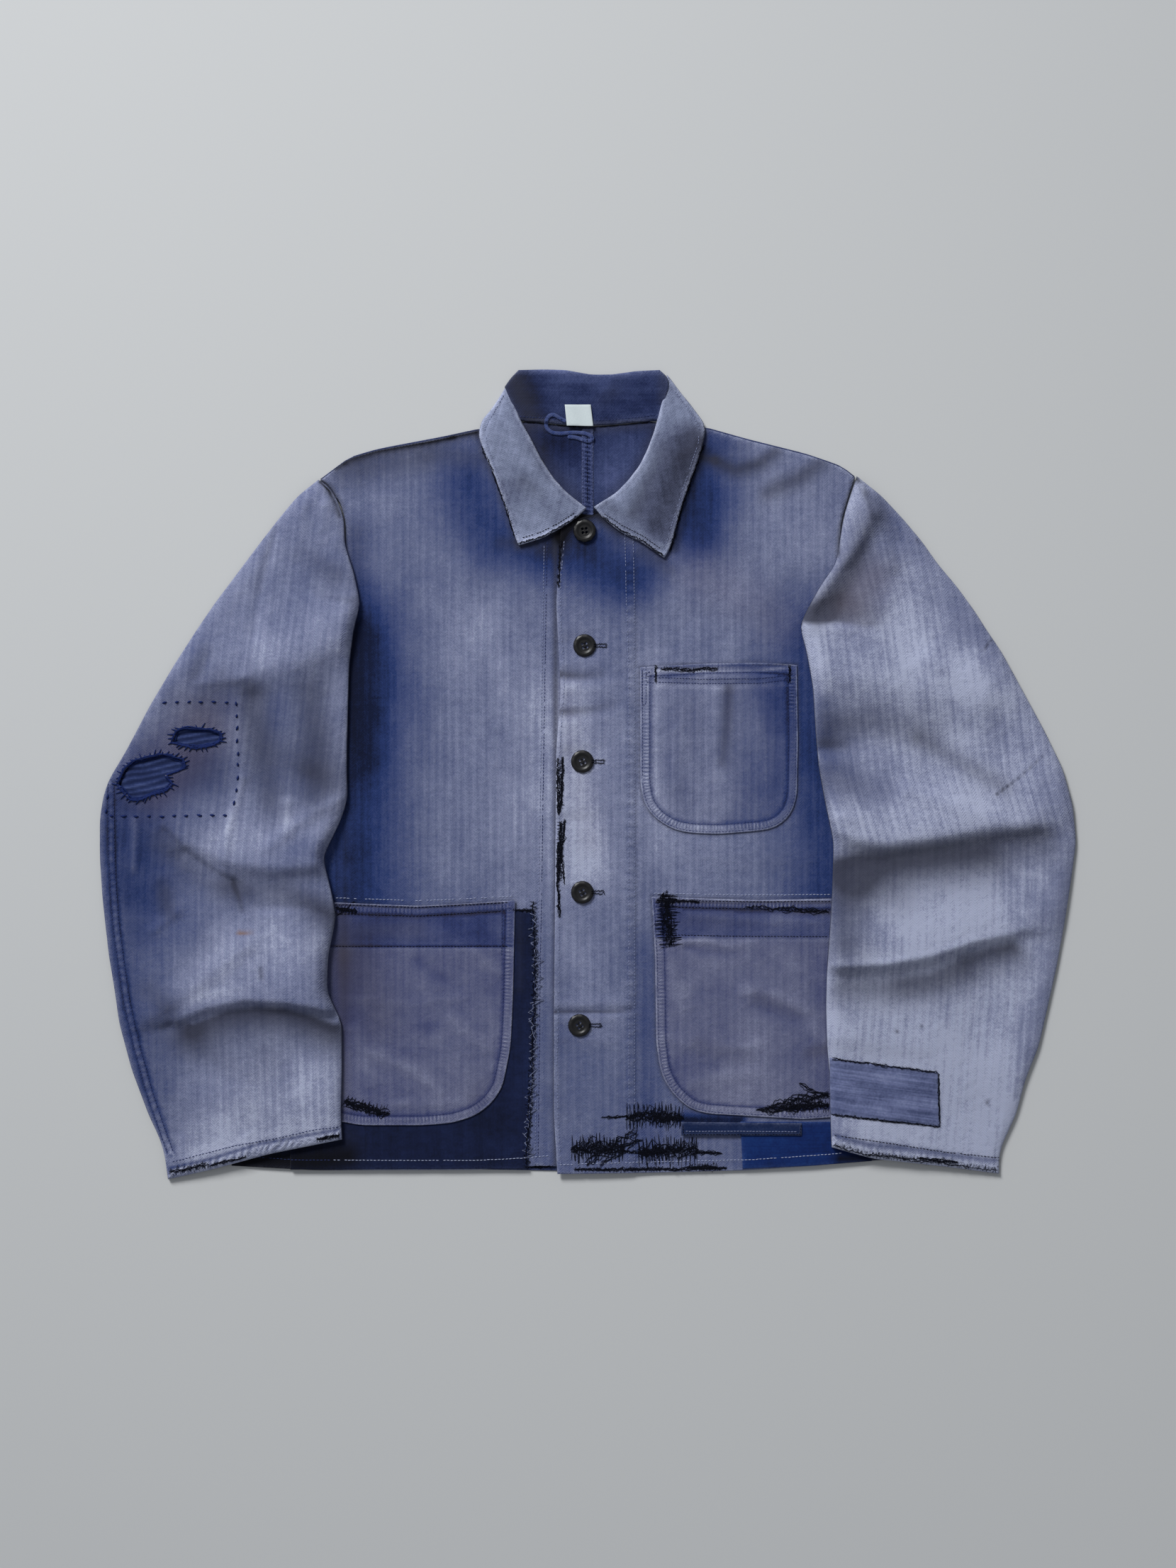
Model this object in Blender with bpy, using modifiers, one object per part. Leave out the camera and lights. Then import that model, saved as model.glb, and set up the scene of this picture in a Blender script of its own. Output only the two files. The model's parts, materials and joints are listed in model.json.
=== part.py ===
"""A faded blue herringbone work jacket with boro patches, laid flat on its back.

Units are metres, +Z is up and the floor is z = 0. The collar points to +Y, and left and right are the
wearer's, so the wearer's left is +X. The origin is at the bottom centre of the jacket's box. Sizes and
tables are written in millimetres and go through MM.

Every panel is an outline cut by a square grid and its diagonals, raised to a height and thickened. What
lies on a panel is cut by the same grid and raised from the same height, so the layers stay parallel.
"""

from __future__ import annotations

import functools
import math
from collections.abc import Callable, Sequence
from dataclasses import dataclass
from typing import NamedTuple

import bmesh
import bpy
from mathutils import Vector

MM = 0.001
CLOTH = 1.0  # one layer of cloth
GAP = 0.4  # between layers that lie on each other
SEAM = 0.35  # between the edges of two panels that are sewn together
LAYER = CLOTH + GAP

FRONT_GRID = 30.0  # the fronts and what lies on them
SLEEVE_GRID = 20.0  # the upper sides of the sleeves
UNDER_GRID = 40.0  # the under sides of the sleeves, where every second line above is one of these
WELD = 0.15  # points this near each other are one

LAP_EDGE = 14.0  # how far the right front runs under the left one
LAP_FLAT = 30.0  # the left front stays above the right one as far as this
LAP_END = 60.0  # and is back on the back panel here

DRAPE_SLOPE = 0.05  # how steeply the sleeve comes down beside what it lies on
SPARE = 0.5  # more room under the sleeve, for its flat facets
PUFF = 3.4  # how far a sleeve's upper side stands off its under side
PUFF_EDGE = 14.0  # over this distance from the sleeve's edge

COLLAR_LEAF = 1.8  # the thickness of a leaf at its outer edge
COLLAR_BACK = 3.6  # the collar folded double behind the neck
COLLAR_FOOT = 7.0  # the width of the hidden stand under the roll
SEAT = 9.0  # from the roll to the edge of the front that is sewn to the stand

BUTTON_RADIUS = 10.0
BUTTON_HEIGHT = 3.2
BUTTON_DISH = 6.6  # the radius of the sunk middle
BUTTON_SUNK = 1.0
BUTTON_HOLE = 1.1
BUTTON_HOLE_OUT = 2.4
BUTTON_STEPS = 20

LOOP_WIDTH = 5.0
LOOP_SEAM = 311.0  # the neck seam's y, where the loop comes down off the collar
LOOP_DROP = 9.0  # and the distance over which it comes down
TRIM_LIFT = 0.2  # more room under the label and the loop, for the collar's flat facets

CUTTER_FLOOR = -10.0  # the prisms that cut the worn holes start below the sleeve
CUTTER_HEIGHT = 60.0

Height = Callable[[float, float], float]


class Point(NamedTuple):
    """A place on the laid-out jacket, in mm."""

    x: float
    y: float


class Row(NamedTuple):
    """One level of a sleeve, in mm: its y, and the x of the edge by the body and of the outer edge."""

    y: float
    inner: float
    outer: float


class Fold(NamedTuple):
    """A soft ridge in the cloth, in mm: its two ends, its half width and its height."""

    x0: float
    y0: float
    x1: float
    y1: float
    width: float
    height: float


class Station(NamedTuple):
    """One section across the collar, in mm: the roll or neck seam, the free edge, and its heights.

    foot and under are the height of the lower side by the seam and further out, edge is that at the free
    edge, and top is the height of the upper side by the roll.
    """

    x0: float
    y0: float
    x1: float
    y1: float
    foot: float
    under: float
    edge: float
    top: float


class Cloth(NamedTuple):
    """The look of one kind of cloth or button."""

    name: str
    colour: tuple[float, float, float]
    roughness: float


FADED = Cloth("faded_blue_herringbone", (0.24, 0.27, 0.45), 0.9)
COLLAR_GREY = Cloth("washed_collar_herringbone", (0.27, 0.29, 0.41), 0.9)
INSIDE = Cloth("inside_of_the_cloth", (0.13, 0.16, 0.32), 0.92)
NAVY = Cloth("navy_patch_cloth", (0.02, 0.03, 0.09), 0.92)
BRIGHT = Cloth("bright_blue_patch_cloth", (0.02, 0.06, 0.25), 0.9)
SLATE = Cloth("slate_patch_cloth", (0.03, 0.04, 0.1), 0.92)
TAPE = Cloth("label_tape", (0.58, 0.68, 0.7), 0.8)
HORN = Cloth("black_button", (0.008, 0.008, 0.01), 0.35)

SLEEVE_RIGHT = (
    Row(259, -237, -237),
    Row(245, -222, -255),
    Row(225, -214.5, -272),
    Row(202, -214, -290),
    Row(178, -206, -308),
    Row(150, -200, -329),
    Row(128, -206, -344),
    Row(97, -210, -364),
    Row(60, -211, -386),
    Row(20, -212, -407),
    Row(-5, -212, -422),
    Row(-20, -211, -427),
    Row(-40, -217, -430),
    Row(-73, -233, -430),
    Row(-105, -225, -428),
    Row(-125, -221, -426),
    Row(-160, -228, -422),
    Row(-190, -229, -417),
    Row(-219, -216, -413),
    Row(-260, -216, -402),
    Row(-300, -217, -387),
    Row(-321, -216, -377),
    Row(-334, -280, -373),
    Row(-348, -331, -371),
    Row(-357, -370, -370),
)

SLEEVE_LEFT = (
    Row(262, 236.5, 236.5),
    Row(245, 230.5, 258),
    Row(225, 224.5, 277),
    Row(205, 221.5, 294),
    Row(185, 218, 308),
    Row(165, 204, 325),
    Row(143, 192, 341),
    Row(130, 186, 349),
    Row(108, 192, 364),
    Row(75, 198, 382),
    Row(40, 200, 401),
    Row(5, 203, 418),
    Row(-28, 209, 427),
    Row(-60, 216, 430),
    Row(-97, 215, 425),
    Row(-130, 213, 420),
    Row(-169, 210, 413),
    Row(-205, 209, 405),
    Row(-240, 210, 397),
    Row(-270, 213, 385),
    Row(-300, 213, 377),
    Row(-328, 214, 364),
    Row(-338, 250, 362),
    Row(-345, 310, 362),
    Row(-352, 362, 362),
)

FOLDS_RIGHT = (
    Fold(-250, 225, -262, 130, 16, 4.5),
    Fold(-208, 150, -345, 80, 17, 8),
    Fold(-300, 200, -330, 120, 18, 3.5),
    Fold(-214, -24, -285, -60, 18, 8),
    Fold(-300, -45, -410, -30, 22, 4),
    Fold(-240, -150, -405, -160, 26, 4.5),
    Fold(-222, -192, -395, -196, 18, 9),
    Fold(-240, -270, -380, -262, 30, 3.5),
)

FOLDS_LEFT = (
    Fold(242, 240, 268, 180, 16, 6),
    Fold(222, 190, 196, 140, 16, 7),
    Fold(200, 118, 335, 84, 22, 9),
    Fold(214, 4, 372, -44, 18, 8),
    Fold(240, -118, 380, -140, 26, 5.5),
    Fold(216, -166, 320, -158, 16, 7),
    Fold(235, -240, 370, -225, 30, 3.5),
)

SHOULDER_RIGHT = (
    Point(-96, 303),
    Point(-128, 296),
    Point(-160, 290),
    Point(-186, 285),
    Point(-210, 278),
    Point(-236, 258.5),
)
SHOULDER_LEFT = (
    Point(103, 304.5),
    Point(140, 294),
    Point(166, 287.5),
    Point(192, 281),
    Point(224, 270),
    Point(235, 261),
)
ARMHOLE_RIGHT = (
    Point(-221, 245),
    Point(-214, 225),
    Point(-213.5, 200),
    Point(-222, 150),
    Point(-240, 100),
    Point(-262, 60),
    Point(-290, 25),
)
ARMHOLE_LEFT = (
    Point(230, 245),
    Point(224, 225),
    Point(221, 200),
    Point(225, 150),
    Point(240, 100),
    Point(262, 60),
    Point(290, 25),
)
SIDE_RIGHT = (Point(-298, -80), Point(-307, -220), Point(-314, -345))
SIDE_LEFT = (Point(291, -80), Point(290, -220), Point(286, -338))
HEM_RIGHT = (Point(-240, -349), Point(-100, -348.5), Point(-40, -345), Point(LAP_EDGE, -348))
HEM_LEFT = (Point(230, -342), Point(200, -345), Point(140, -349), Point(60, -351), Point(-27, -352))
FRONT_EDGE = (
    Point(-30, -300),
    Point(-30, -220),
    Point(-29, -100),
    Point(-28, 20),
    Point(-24, 72),
    Point(-28, 150),
    Point(-24, 205),
    Point(-24, 221),
)

# Both halves of the collar run from the open end at the throat to the middle of the back.
COLLAR_RIGHT = (
    Station(-2, 234, -61, 201, 4.1, 4.1, 4.1, 6.6),
    Station(-9, 240, -68, 221, 2.0, 4.1, 4.1, 6.8),
    Station(-19, 248, -76, 245, 1.5, 4.1, 4.1, 7.0),
    Station(-30, 260, -84, 266, 1.5, 4.1, 4.1, 7.0),
    Station(-41, 277, -91, 283, 1.5, 4.1, 4.1, 7.0),
    Station(-50, 295, -96, 297, 1.5, 4.1, 4.1, 7.0),
    Station(-57, 307.5, -95.5, 304.5, 1.5, 4.1, 4.1, 7.0),
    Station(-58, 310, -93, 312, 3.2, 4.1, 3.0, 6.8),
    Station(-58.6, 311.6, -84, 323, 1.6, 1.6, 0, 6.6),
    Station(-59, 313, -71, 342, 0, 0, 0, 6.2),
    Station(-55, 312, -61, 356, 0, 0, 0, COLLAR_BACK),
    Station(-40, 309.5, -40, 356.5, 0, 0, 0, COLLAR_BACK),
    Station(-20, 307.5, -20, 356, 0, 0, 0, COLLAR_BACK),
)
COLLAR_LEFT = (
    Station(6, 235.5, 67, 190, 4.1, 4.1, 4.1, 6.6),
    Station(14, 241, 75, 208, 2.0, 4.1, 4.1, 6.8),
    Station(24, 247, 81, 231, 1.5, 4.1, 4.1, 7.0),
    Station(35, 258, 88, 252, 1.5, 4.1, 4.1, 7.0),
    Station(45, 271, 96, 274, 1.5, 4.1, 4.1, 7.0),
    Station(52, 285, 101, 290, 1.5, 4.1, 4.1, 7.0),
    Station(59, 304, 103.5, 301, 1.5, 4.1, 4.1, 7.0),
    Station(60, 308, 102, 309, 3.2, 4.1, 3.2, 6.8),
    Station(60.6, 311.6, 92, 323, 1.6, 1.6, 0, 6.6),
    Station(61, 313, 73, 346, 0, 0, 0, 6.2),
    Station(57, 312, 63, 356, 0, 0, 0, COLLAR_BACK),
    Station(40, 309.5, 42, 355, 0, 0, 0, COLLAR_BACK),
    Station(20, 307.5, 20, 352, 0, 0, 0, COLLAR_BACK),
)
COLLAR_MIDDLE = Station(0, 306.5, 0, 352.5, 0, 0, 0, COLLAR_BACK)
SEWN = 7  # the stations of each half that the front is sewn under

CHEST_POCKET = (
    Point(46, 94),
    Point(46, -10),
    Point(50, -28),
    Point(60, -40),
    Point(75, -49),
    Point(90, -52),
    Point(115, -53),
    Point(140, -51),
    Point(160, -49),
    Point(172, -43),
    Point(180, -33),
    Point(184, -20),
    Point(185, 30),
    Point(184, 96),
    Point(150, 98),
    Point(100, 97),
)
POCKET_RIGHT = (
    Point(-250, -112),
    Point(-250, -300),
    Point(-216, -306),
    Point(-200, -309),
    Point(-145, -309),
    Point(-120, -307),
    Point(-100, -301),
    Point(-85, -290),
    Point(-75, -275),
    Point(-68, -240),
    Point(-66, -200),
    Point(-64, -111),
    Point(-110, -114),
    Point(-150, -116),
    Point(-222, -113),
)
POCKET_LEFT = (
    Point(56, -108),
    Point(59, -160),
    Point(60, -235),
    Point(63, -258),
    Point(68, -272),
    Point(78, -285),
    Point(90, -295),
    Point(105, -299),
    Point(140, -301),
    Point(190, -304),
    Point(245, -300),
    Point(245, -109),
    Point(150, -111),
)
NAVY_PATCH = (
    Point(-262, -119),
    Point(-262, -343),
    Point(-53, -342),
    Point(-50, -290),
    Point(-46, -200),
    Point(-46, -160),
    Point(-48, -119),
)
BLUE_PATCH = (Point(134, -306), Point(136, -345), Point(200, -342), Point(250, -338), Point(250, -306))
SLATE_PATCH = (Point(82, -306), Point(82, -318), Point(188, -318), Point(188, -307))
CUFF_PATCH = (Point(218, -250), Point(218, -298), Point(309, -310), Point(307, -261), Point(262, -255))
ELBOW_PATCH = (
    Point(-372, 63),
    Point(-395, 20),
    Point(-410, -5),
    Point(-416, -34),
    Point(-313, -36),
    Point(-307, -10),
    Point(-307, 63),
)
UPPER_HOLE = (
    Point(-365, 28),
    Point(-356, 26),
    Point(-345, 24),
    Point(-330, 26),
    Point(-322, 30),
    Point(-323, 35),
    Point(-330, 38),
    Point(-354, 40),
    Point(-361, 38),
    Point(-364, 31),
)
LOWER_HOLE = (
    Point(-413, -9),
    Point(-402, -22),
    Point(-393, -22),
    Point(-383, -17),
    Point(-370, -13),
    Point(-366, -8),
    Point(-372, -1),
    Point(-355, 5),
    Point(-356, 12),
    Point(-373, 17),
    Point(-399, 11),
    Point(-407, 4),
)
LABEL = (Point(-20.5, 325), Point(-18.7, 306.5), Point(4.7, 306), Point(2.4, 325))
LOOP = (
    Point(-24, 316),
    Point(-33, 316),
    Point(-38, 310),
    Point(-36, 304),
    Point(-28, 301),
    Point(-13, 301.5),
    Point(-2, 300.5),
    Point(5, 297),
    Point(2, 291),
)
BUTTONS = (Point(-3, 214), Point(-3, 113), Point(-5, 11), Point(-5, -104), Point(-7.5, -221))


def ease(value: float) -> float:
    """Maps 0 to 1 onto itself with level ends, and holds outside it."""
    held = min(max(value, 0.0), 1.0)
    return held * held * (3 - 2 * held)


def to_segment(x: float, y: float, a: Sequence[float], b: Sequence[float]) -> tuple[float, float]:
    """Returns the distance from a point to the segment a to b, and how far along it the nearest is."""
    across, up = b[0] - a[0], b[1] - a[1]
    along = ((x - a[0]) * across + (y - a[1]) * up) / max(across * across + up * up, 1e-9)
    along = min(max(along, 0.0), 1.0)
    return math.hypot(x - a[0] - along * across, y - a[1] - along * up), along


def inside(outline: Sequence[Point], x: float, y: float) -> bool:
    """Whether a point lies within a closed outline."""
    crossings = 0
    for a, b in zip(outline, [*outline[1:], outline[0]], strict=True):
        if (a.y > y) != (b.y > y) and x < a.x + (y - a.y) / (b.y - a.y) * (b.x - a.x):
            crossings += 1
    return crossings % 2 == 1


def beyond(outline: Sequence[Point], x: float, y: float) -> float:
    """Returns the distance to a closed outline, negative within it."""
    pairs = zip(outline, [*outline[1:], outline[0]], strict=True)
    nearest = min(to_segment(x, y, a, b)[0] for a, b in pairs)
    return -nearest if inside(outline, x, y) else nearest


def faceted(height: Height, step: float) -> Height:
    """Returns the height as flat triangles show it that stand on a square grid and its diagonals."""

    @functools.cache
    def node(i: int, j: int) -> float:
        return height(i * step, j * step)

    def read(x: float, y: float) -> float:
        i, j = math.floor(x / step), math.floor(y / step)
        u, v = x / step - i, y / step - j
        low, high = node(i, j), node(i + 1, j + 1)
        if u >= v:
            corner = node(i + 1, j)
            return low + u * (corner - low) + v * (high - corner)
        corner = node(i, j + 1)
        return low + v * (corner - low) + u * (high - corner)

    return read


def folded(folds: Sequence[Fold], x: float, y: float) -> float:
    """Returns the height of the ridges at a place, each fading towards its far end."""
    total = 0.0
    for fold in folds:
        away, along = to_segment(x, y, (fold.x0, fold.y0), (fold.x1, fold.y1))
        total += fold.height * (1 - 0.4 * along) * math.exp(-((away / fold.width) ** 2))
    return total


def sleeve_outline(rows: Sequence[Row]) -> list[Point]:
    """Returns a sleeve's outline, down its edge by the body and up its outer edge."""
    inner = [Point(row.inner, row.y) for row in rows]
    outer = [Point(row.outer, row.y) for row in rows[1:-1]]
    return inner + outer[::-1]


def seat(station: Station) -> Point:
    """Returns where the edge of a front lies that is sewn under a section of the collar."""
    across, up = station.x1 - station.x0, station.y1 - station.y0
    share = SEAT / math.hypot(across, up)
    return Point(station.x0 + share * across, station.y0 + share * up)


NECK_RIGHT = tuple(seat(station) for station in COLLAR_RIGHT[:SEWN])
NECK_LEFT = tuple(seat(station) for station in COLLAR_LEFT[:SEWN])
FRONT_RIGHT = (
    *NECK_RIGHT[::-1],
    Point(LAP_EDGE, 226),
    *HEM_RIGHT[::-1],
    *SIDE_RIGHT[::-1],
    *ARMHOLE_RIGHT[::-1],
    *SHOULDER_RIGHT[::-1],
)
FRONT_LEFT = (
    *FRONT_EDGE,
    *NECK_LEFT,
    *SHOULDER_LEFT,
    *ARMHOLE_LEFT,
    *SIDE_LEFT,
    *HEM_LEFT,
)
SLEEVE_RIGHT_OUTLINE = sleeve_outline(SLEEVE_RIGHT)
SLEEVE_LEFT_OUTLINE = sleeve_outline(SLEEVE_LEFT)


def back_outline(
    collar: Sequence[Station],
    shoulder: Sequence[Point],
    armhole: Sequence[Point],
    side: Sequence[Point],
    middle: float,
) -> list[Point]:
    """Returns half of the back, which shows a little above the front along the shoulder."""
    neck = [Point(s.x0, s.y0 - SEAM) for s in collar[SEWN + 3 :][::-1]]
    neck.append(Point(neck[-1].x * 1.2, 307))
    shoulder = [Point(p.x, p.y + 1.5) for p in shoulder]
    top = Point(middle, COLLAR_MIDDLE.y0 - SEAM)
    return [top, *neck, *shoulder, *armhole, *side, Point(middle, -350)]


def lap(x: float, y: float) -> float:
    """Returns the height of the left front, which lies on the right one by the middle."""
    return LAYER + LAYER * (1 - ease((x - LAP_FLAT) / (LAP_END - LAP_FLAT)))


def flat(height: float) -> Height:
    """Returns a level height."""
    return lambda x, y: height


def raised(base: Height, by: float) -> Height:
    """Returns a height moved out by a distance."""
    return lambda x, y: base(x, y) + by


@dataclass(frozen=True)
class Carried:
    """What a sleeve lies on: an outline, and the height at which cloth clears it."""

    outline: Sequence[Point]
    clear: float

    def height(self, x: float, y: float) -> float:
        """Returns the height of cloth that lies on this and comes down beside it."""
        away = max(0.0, beyond(self.outline, x, y))
        return max(0.0, self.clear - DRAPE_SLOPE * away)


@dataclass(frozen=True)
class Sleeve:
    """The two sides of a sleeve that lies on the body and on the floor beside it."""

    outline: Sequence[Point]
    folds: Sequence[Fold]
    on: Sequence[Carried]

    def under(self) -> Height:
        """Returns the height of the under side's lower face."""
        return faceted(lambda x, y: max(thing.height(x, y) for thing in self.on), UNDER_GRID)

    def upper(self) -> Height:
        """Returns the height of the upper side's lower face, with its folds."""
        base = self.under()

        def height(x: float, y: float) -> float:
            inward = max(0.0, -beyond(self.outline, x, y))
            rim = 1 - (1 - min(inward / PUFF_EDGE, 1.0)) ** 2
            return base(x, y) + LAYER + rim * (PUFF + folded(self.folds, x, y))

        return faceted(height, SLEEVE_GRID)


def material(cloth: Cloth) -> bpy.types.Material:
    """Returns the material of a cloth, made once."""
    found = bpy.data.materials.get(cloth.name)
    if found is not None:
        return found
    made = bpy.data.materials.new(cloth.name)
    made.use_nodes = True
    shader = made.node_tree.nodes["Principled BSDF"]
    shader.inputs["Base Color"].default_value = (*cloth.colour, 1.0)
    shader.inputs["Roughness"].default_value = cloth.roughness
    shader.inputs["Metallic"].default_value = 0.0
    made.diffuse_color = (*cloth.colour, 1.0)
    return made


def collection(name: str) -> bpy.types.Collection:
    """Returns a collection in the scene, made once."""
    found = bpy.data.collections.get(name)
    if found is None:
        found = bpy.data.collections.new(name)
        bpy.context.scene.collection.children.link(found)
    return found


def place(name: str, mesh: bpy.types.Mesh, cloth: Cloth) -> bpy.types.Object:
    """Puts a mesh in the jacket's collection under a name, with a material."""
    made = bpy.data.objects.new(name, mesh)
    mesh.materials.clear()
    mesh.materials.append(material(cloth))
    collection("work_jacket").objects.link(made)
    return made


def thicken(piece: bpy.types.Object, thickness: float) -> None:
    """Turns an open surface into a wall that stands on it."""
    solid = piece.modifiers.new("cloth", "SOLIDIFY")
    solid.thickness = thickness * MM
    solid.offset = 1.0


def cut_by_grid(bm: bmesh.types.BMesh, outline: Sequence[Point], step: float) -> None:
    """Cuts a flat face along the lines and the diagonals of a square grid."""
    xs, ys = [p.x for p in outline], [p.y for p in outline]
    families = (
        (min(xs), max(xs), (1.0, 0.0)),
        (min(ys), max(ys), (0.0, 1.0)),
        (min(xs) - max(ys), max(xs) - min(ys), (1.0, -1.0)),
    )
    for low, high, (across, up) in families:
        for k in range(math.ceil(low / step), math.floor(high / step) + 1):
            scale = k * step / (across * across + up * up)
            bmesh.ops.bisect_plane(
                bm,
                geom=[*bm.verts, *bm.edges, *bm.faces],
                dist=1e-7,
                plane_co=(scale * across * MM, scale * up * MM, 0),
                plane_no=(across, up, 0),
            )


def panel(
    name: str,
    outline: Sequence[Point],
    height: Height,
    cloth: Cloth,
    step: float | None = None,
) -> bpy.types.Object:
    """Makes one panel of cloth.

    Args:
        name: The node's name.
        outline: Its edge, in mm.
        height: The height of its lower face.
        cloth: Its material.
        step: The grid that the height is faceted on, or None for a level panel.

    Returns:
        The panel, with its thickness as a modifier.
    """
    bm = bmesh.new()
    face = bm.faces.new([bm.verts.new((p.x * MM, p.y * MM, 0)) for p in outline])
    face.normal_update()
    if face.normal.z < 0:
        bmesh.ops.reverse_faces(bm, faces=[face])
    if step is not None:
        cut_by_grid(bm, outline, step)
        bmesh.ops.remove_doubles(bm, verts=bm.verts, dist=WELD * MM)
    bmesh.ops.triangulate(bm, faces=bm.faces)
    for vert in bm.verts:
        vert.co.z = height(vert.co.x / MM, vert.co.y / MM) * MM
    mesh = bpy.data.meshes.new(name)
    bm.to_mesh(mesh)
    bm.free()
    made = place(name, mesh, cloth)
    thicken(made, CLOTH)
    return made


def section(station: Station) -> list[Vector]:
    """Returns the closed ring of one section of the collar, in mm, from the foot around and back."""
    reach = math.hypot(station.x1 - station.x0, station.y1 - station.y0)
    foot = COLLAR_FOOT / reach
    mid_top = station.edge + 0.5 * (station.top - station.edge) + 0.5 * COLLAR_LEAF
    profile = (
        (0.02, station.foot),
        (foot * 0.8, station.foot),
        (foot, station.under),
        (0.55, 0.5 * (station.under + station.edge)),
        (0.99, station.edge),
        (1.0, station.edge + 0.5 * COLLAR_LEAF),
        (0.985, station.edge + COLLAR_LEAF),
        (0.55, max(mid_top, station.edge + COLLAR_LEAF)),
        (foot, station.top),
        (0.03, station.top - 0.5),
        (0.0, 0.5 * (station.foot + station.top)),
    )
    across, up = station.x1 - station.x0, station.y1 - station.y0
    return [Vector((station.x0 + t * across, station.y0 + t * up, z)) for t, z in profile]


def collar() -> None:
    """Makes the collar: two leaves on the chest, folded double behind the neck, as one loft."""
    stations = [*COLLAR_RIGHT, COLLAR_MIDDLE, *COLLAR_LEFT[::-1]]
    rings = [section(station) for station in stations]
    bm = bmesh.new()
    loops = [[bm.verts.new(point * MM) for point in ring] for ring in rings]
    count = len(loops[0])
    for one, other in zip(loops, loops[1:], strict=False):
        for k in range(count):
            n = (k + 1) % count
            bm.faces.new((one[k], one[n], other[n], other[k]))
    bm.faces.new(loops[0][::-1])
    bm.faces.new(loops[-1])
    bmesh.ops.triangulate(bm, faces=bm.faces)
    bmesh.ops.recalc_face_normals(bm, faces=bm.faces)
    mesh = bpy.data.meshes.new("collar")
    bm.to_mesh(mesh)
    bm.free()
    place("collar", mesh, COLLAR_GREY)


def ribbon(name: str, path: Sequence[Point], width: float, height: Height, cloth: Cloth) -> None:
    """Makes a flat tape along a path."""
    bm = bmesh.new()
    edges = []
    for k, point in enumerate(path):
        before, after = path[max(k - 1, 0)], path[min(k + 1, len(path) - 1)]
        heading = Vector((after.x - before.x, after.y - before.y)).normalized()
        side = Vector((-heading.y, heading.x)) * (0.5 * width)
        z = height(point.x, point.y)
        ends = ((point.x - side.x, point.y - side.y, z), (point.x + side.x, point.y + side.y, z))
        edges.append([bm.verts.new(Vector(end) * MM) for end in ends])
    for (a, b), (c, d) in zip(edges, edges[1:], strict=False):
        bm.faces.new((a, c, d, b))
    bmesh.ops.triangulate(bm, faces=bm.faces)
    bm.normal_update()
    mesh = bpy.data.meshes.new(name)
    bm.to_mesh(mesh)
    bm.free()
    thicken(place(name, mesh, cloth), CLOTH)


def neck_trim() -> None:
    """Makes the bare label on the collar's back and the hanging loop by it."""
    on_collar = COLLAR_BACK + GAP + TRIM_LIFT

    def drop(_x: float, y: float) -> float:
        """Returns the loop's height, from the collar down to the back panel."""
        return on_collar + (LAYER - on_collar) * ease((LOOP_SEAM - y) / LOOP_DROP)

    panel("label", LABEL, flat(on_collar), TAPE)
    ribbon("hanging_loop", LOOP, LOOP_WIDTH, drop, FADED)


def backs() -> None:
    """Makes the two halves of the back, level on the floor."""
    right = back_outline(COLLAR_RIGHT, SHOULDER_RIGHT, ARMHOLE_RIGHT, SIDE_RIGHT, -0.5 * SEAM)
    left = back_outline(COLLAR_LEFT, SHOULDER_LEFT, ARMHOLE_LEFT, SIDE_LEFT, 0.5 * SEAM)
    panel("back_right", right, flat(0), INSIDE)
    panel("back_left", left, flat(0), INSIDE)


def fronts() -> None:
    """Makes the two fronts with their pockets and patches."""
    on_right = flat(LAYER)
    panel("front_right", FRONT_RIGHT, on_right, FADED)
    panel("patch_front_navy", NAVY_PATCH, raised(on_right, LAYER), NAVY)
    panel("pocket_right", POCKET_RIGHT, raised(on_right, 2 * LAYER), FADED)
    on_left = faceted(lap, FRONT_GRID)
    panel("front_left", FRONT_LEFT, on_left, FADED, FRONT_GRID)
    panel("pocket_chest", CHEST_POCKET, raised(on_left, LAYER), FADED, FRONT_GRID)
    panel("pocket_left", POCKET_LEFT, raised(on_left, LAYER), FADED, FRONT_GRID)
    panel("patch_hem_blue", BLUE_PATCH, raised(on_left, LAYER), BRIGHT, FRONT_GRID)
    panel("patch_hem_slate", SLATE_PATCH, raised(on_left, 2 * LAYER), SLATE, FRONT_GRID)


def hole_cutter(name: str, outline: Sequence[Point]) -> bpy.types.Object:
    """Makes a hidden prism that cuts a worn hole through a sleeve."""
    bm = bmesh.new()
    face = bm.faces.new([bm.verts.new((p.x * MM, p.y * MM, CUTTER_FLOOR * MM)) for p in outline])
    raised_part = bmesh.ops.extrude_face_region(bm, geom=[face])
    verts = [item for item in raised_part["geom"] if isinstance(item, bmesh.types.BMVert)]
    bmesh.ops.translate(bm, verts=verts, vec=(0, 0, CUTTER_HEIGHT * MM))
    bmesh.ops.recalc_face_normals(bm, faces=bm.faces)
    mesh = bpy.data.meshes.new(name)
    bm.to_mesh(mesh)
    bm.free()
    cutter = bpy.data.objects.new(name, mesh)
    cutter.hide_render = True
    cutter.display_type = "WIRE"
    collection("cutters").objects.link(cutter)
    return cutter


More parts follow.
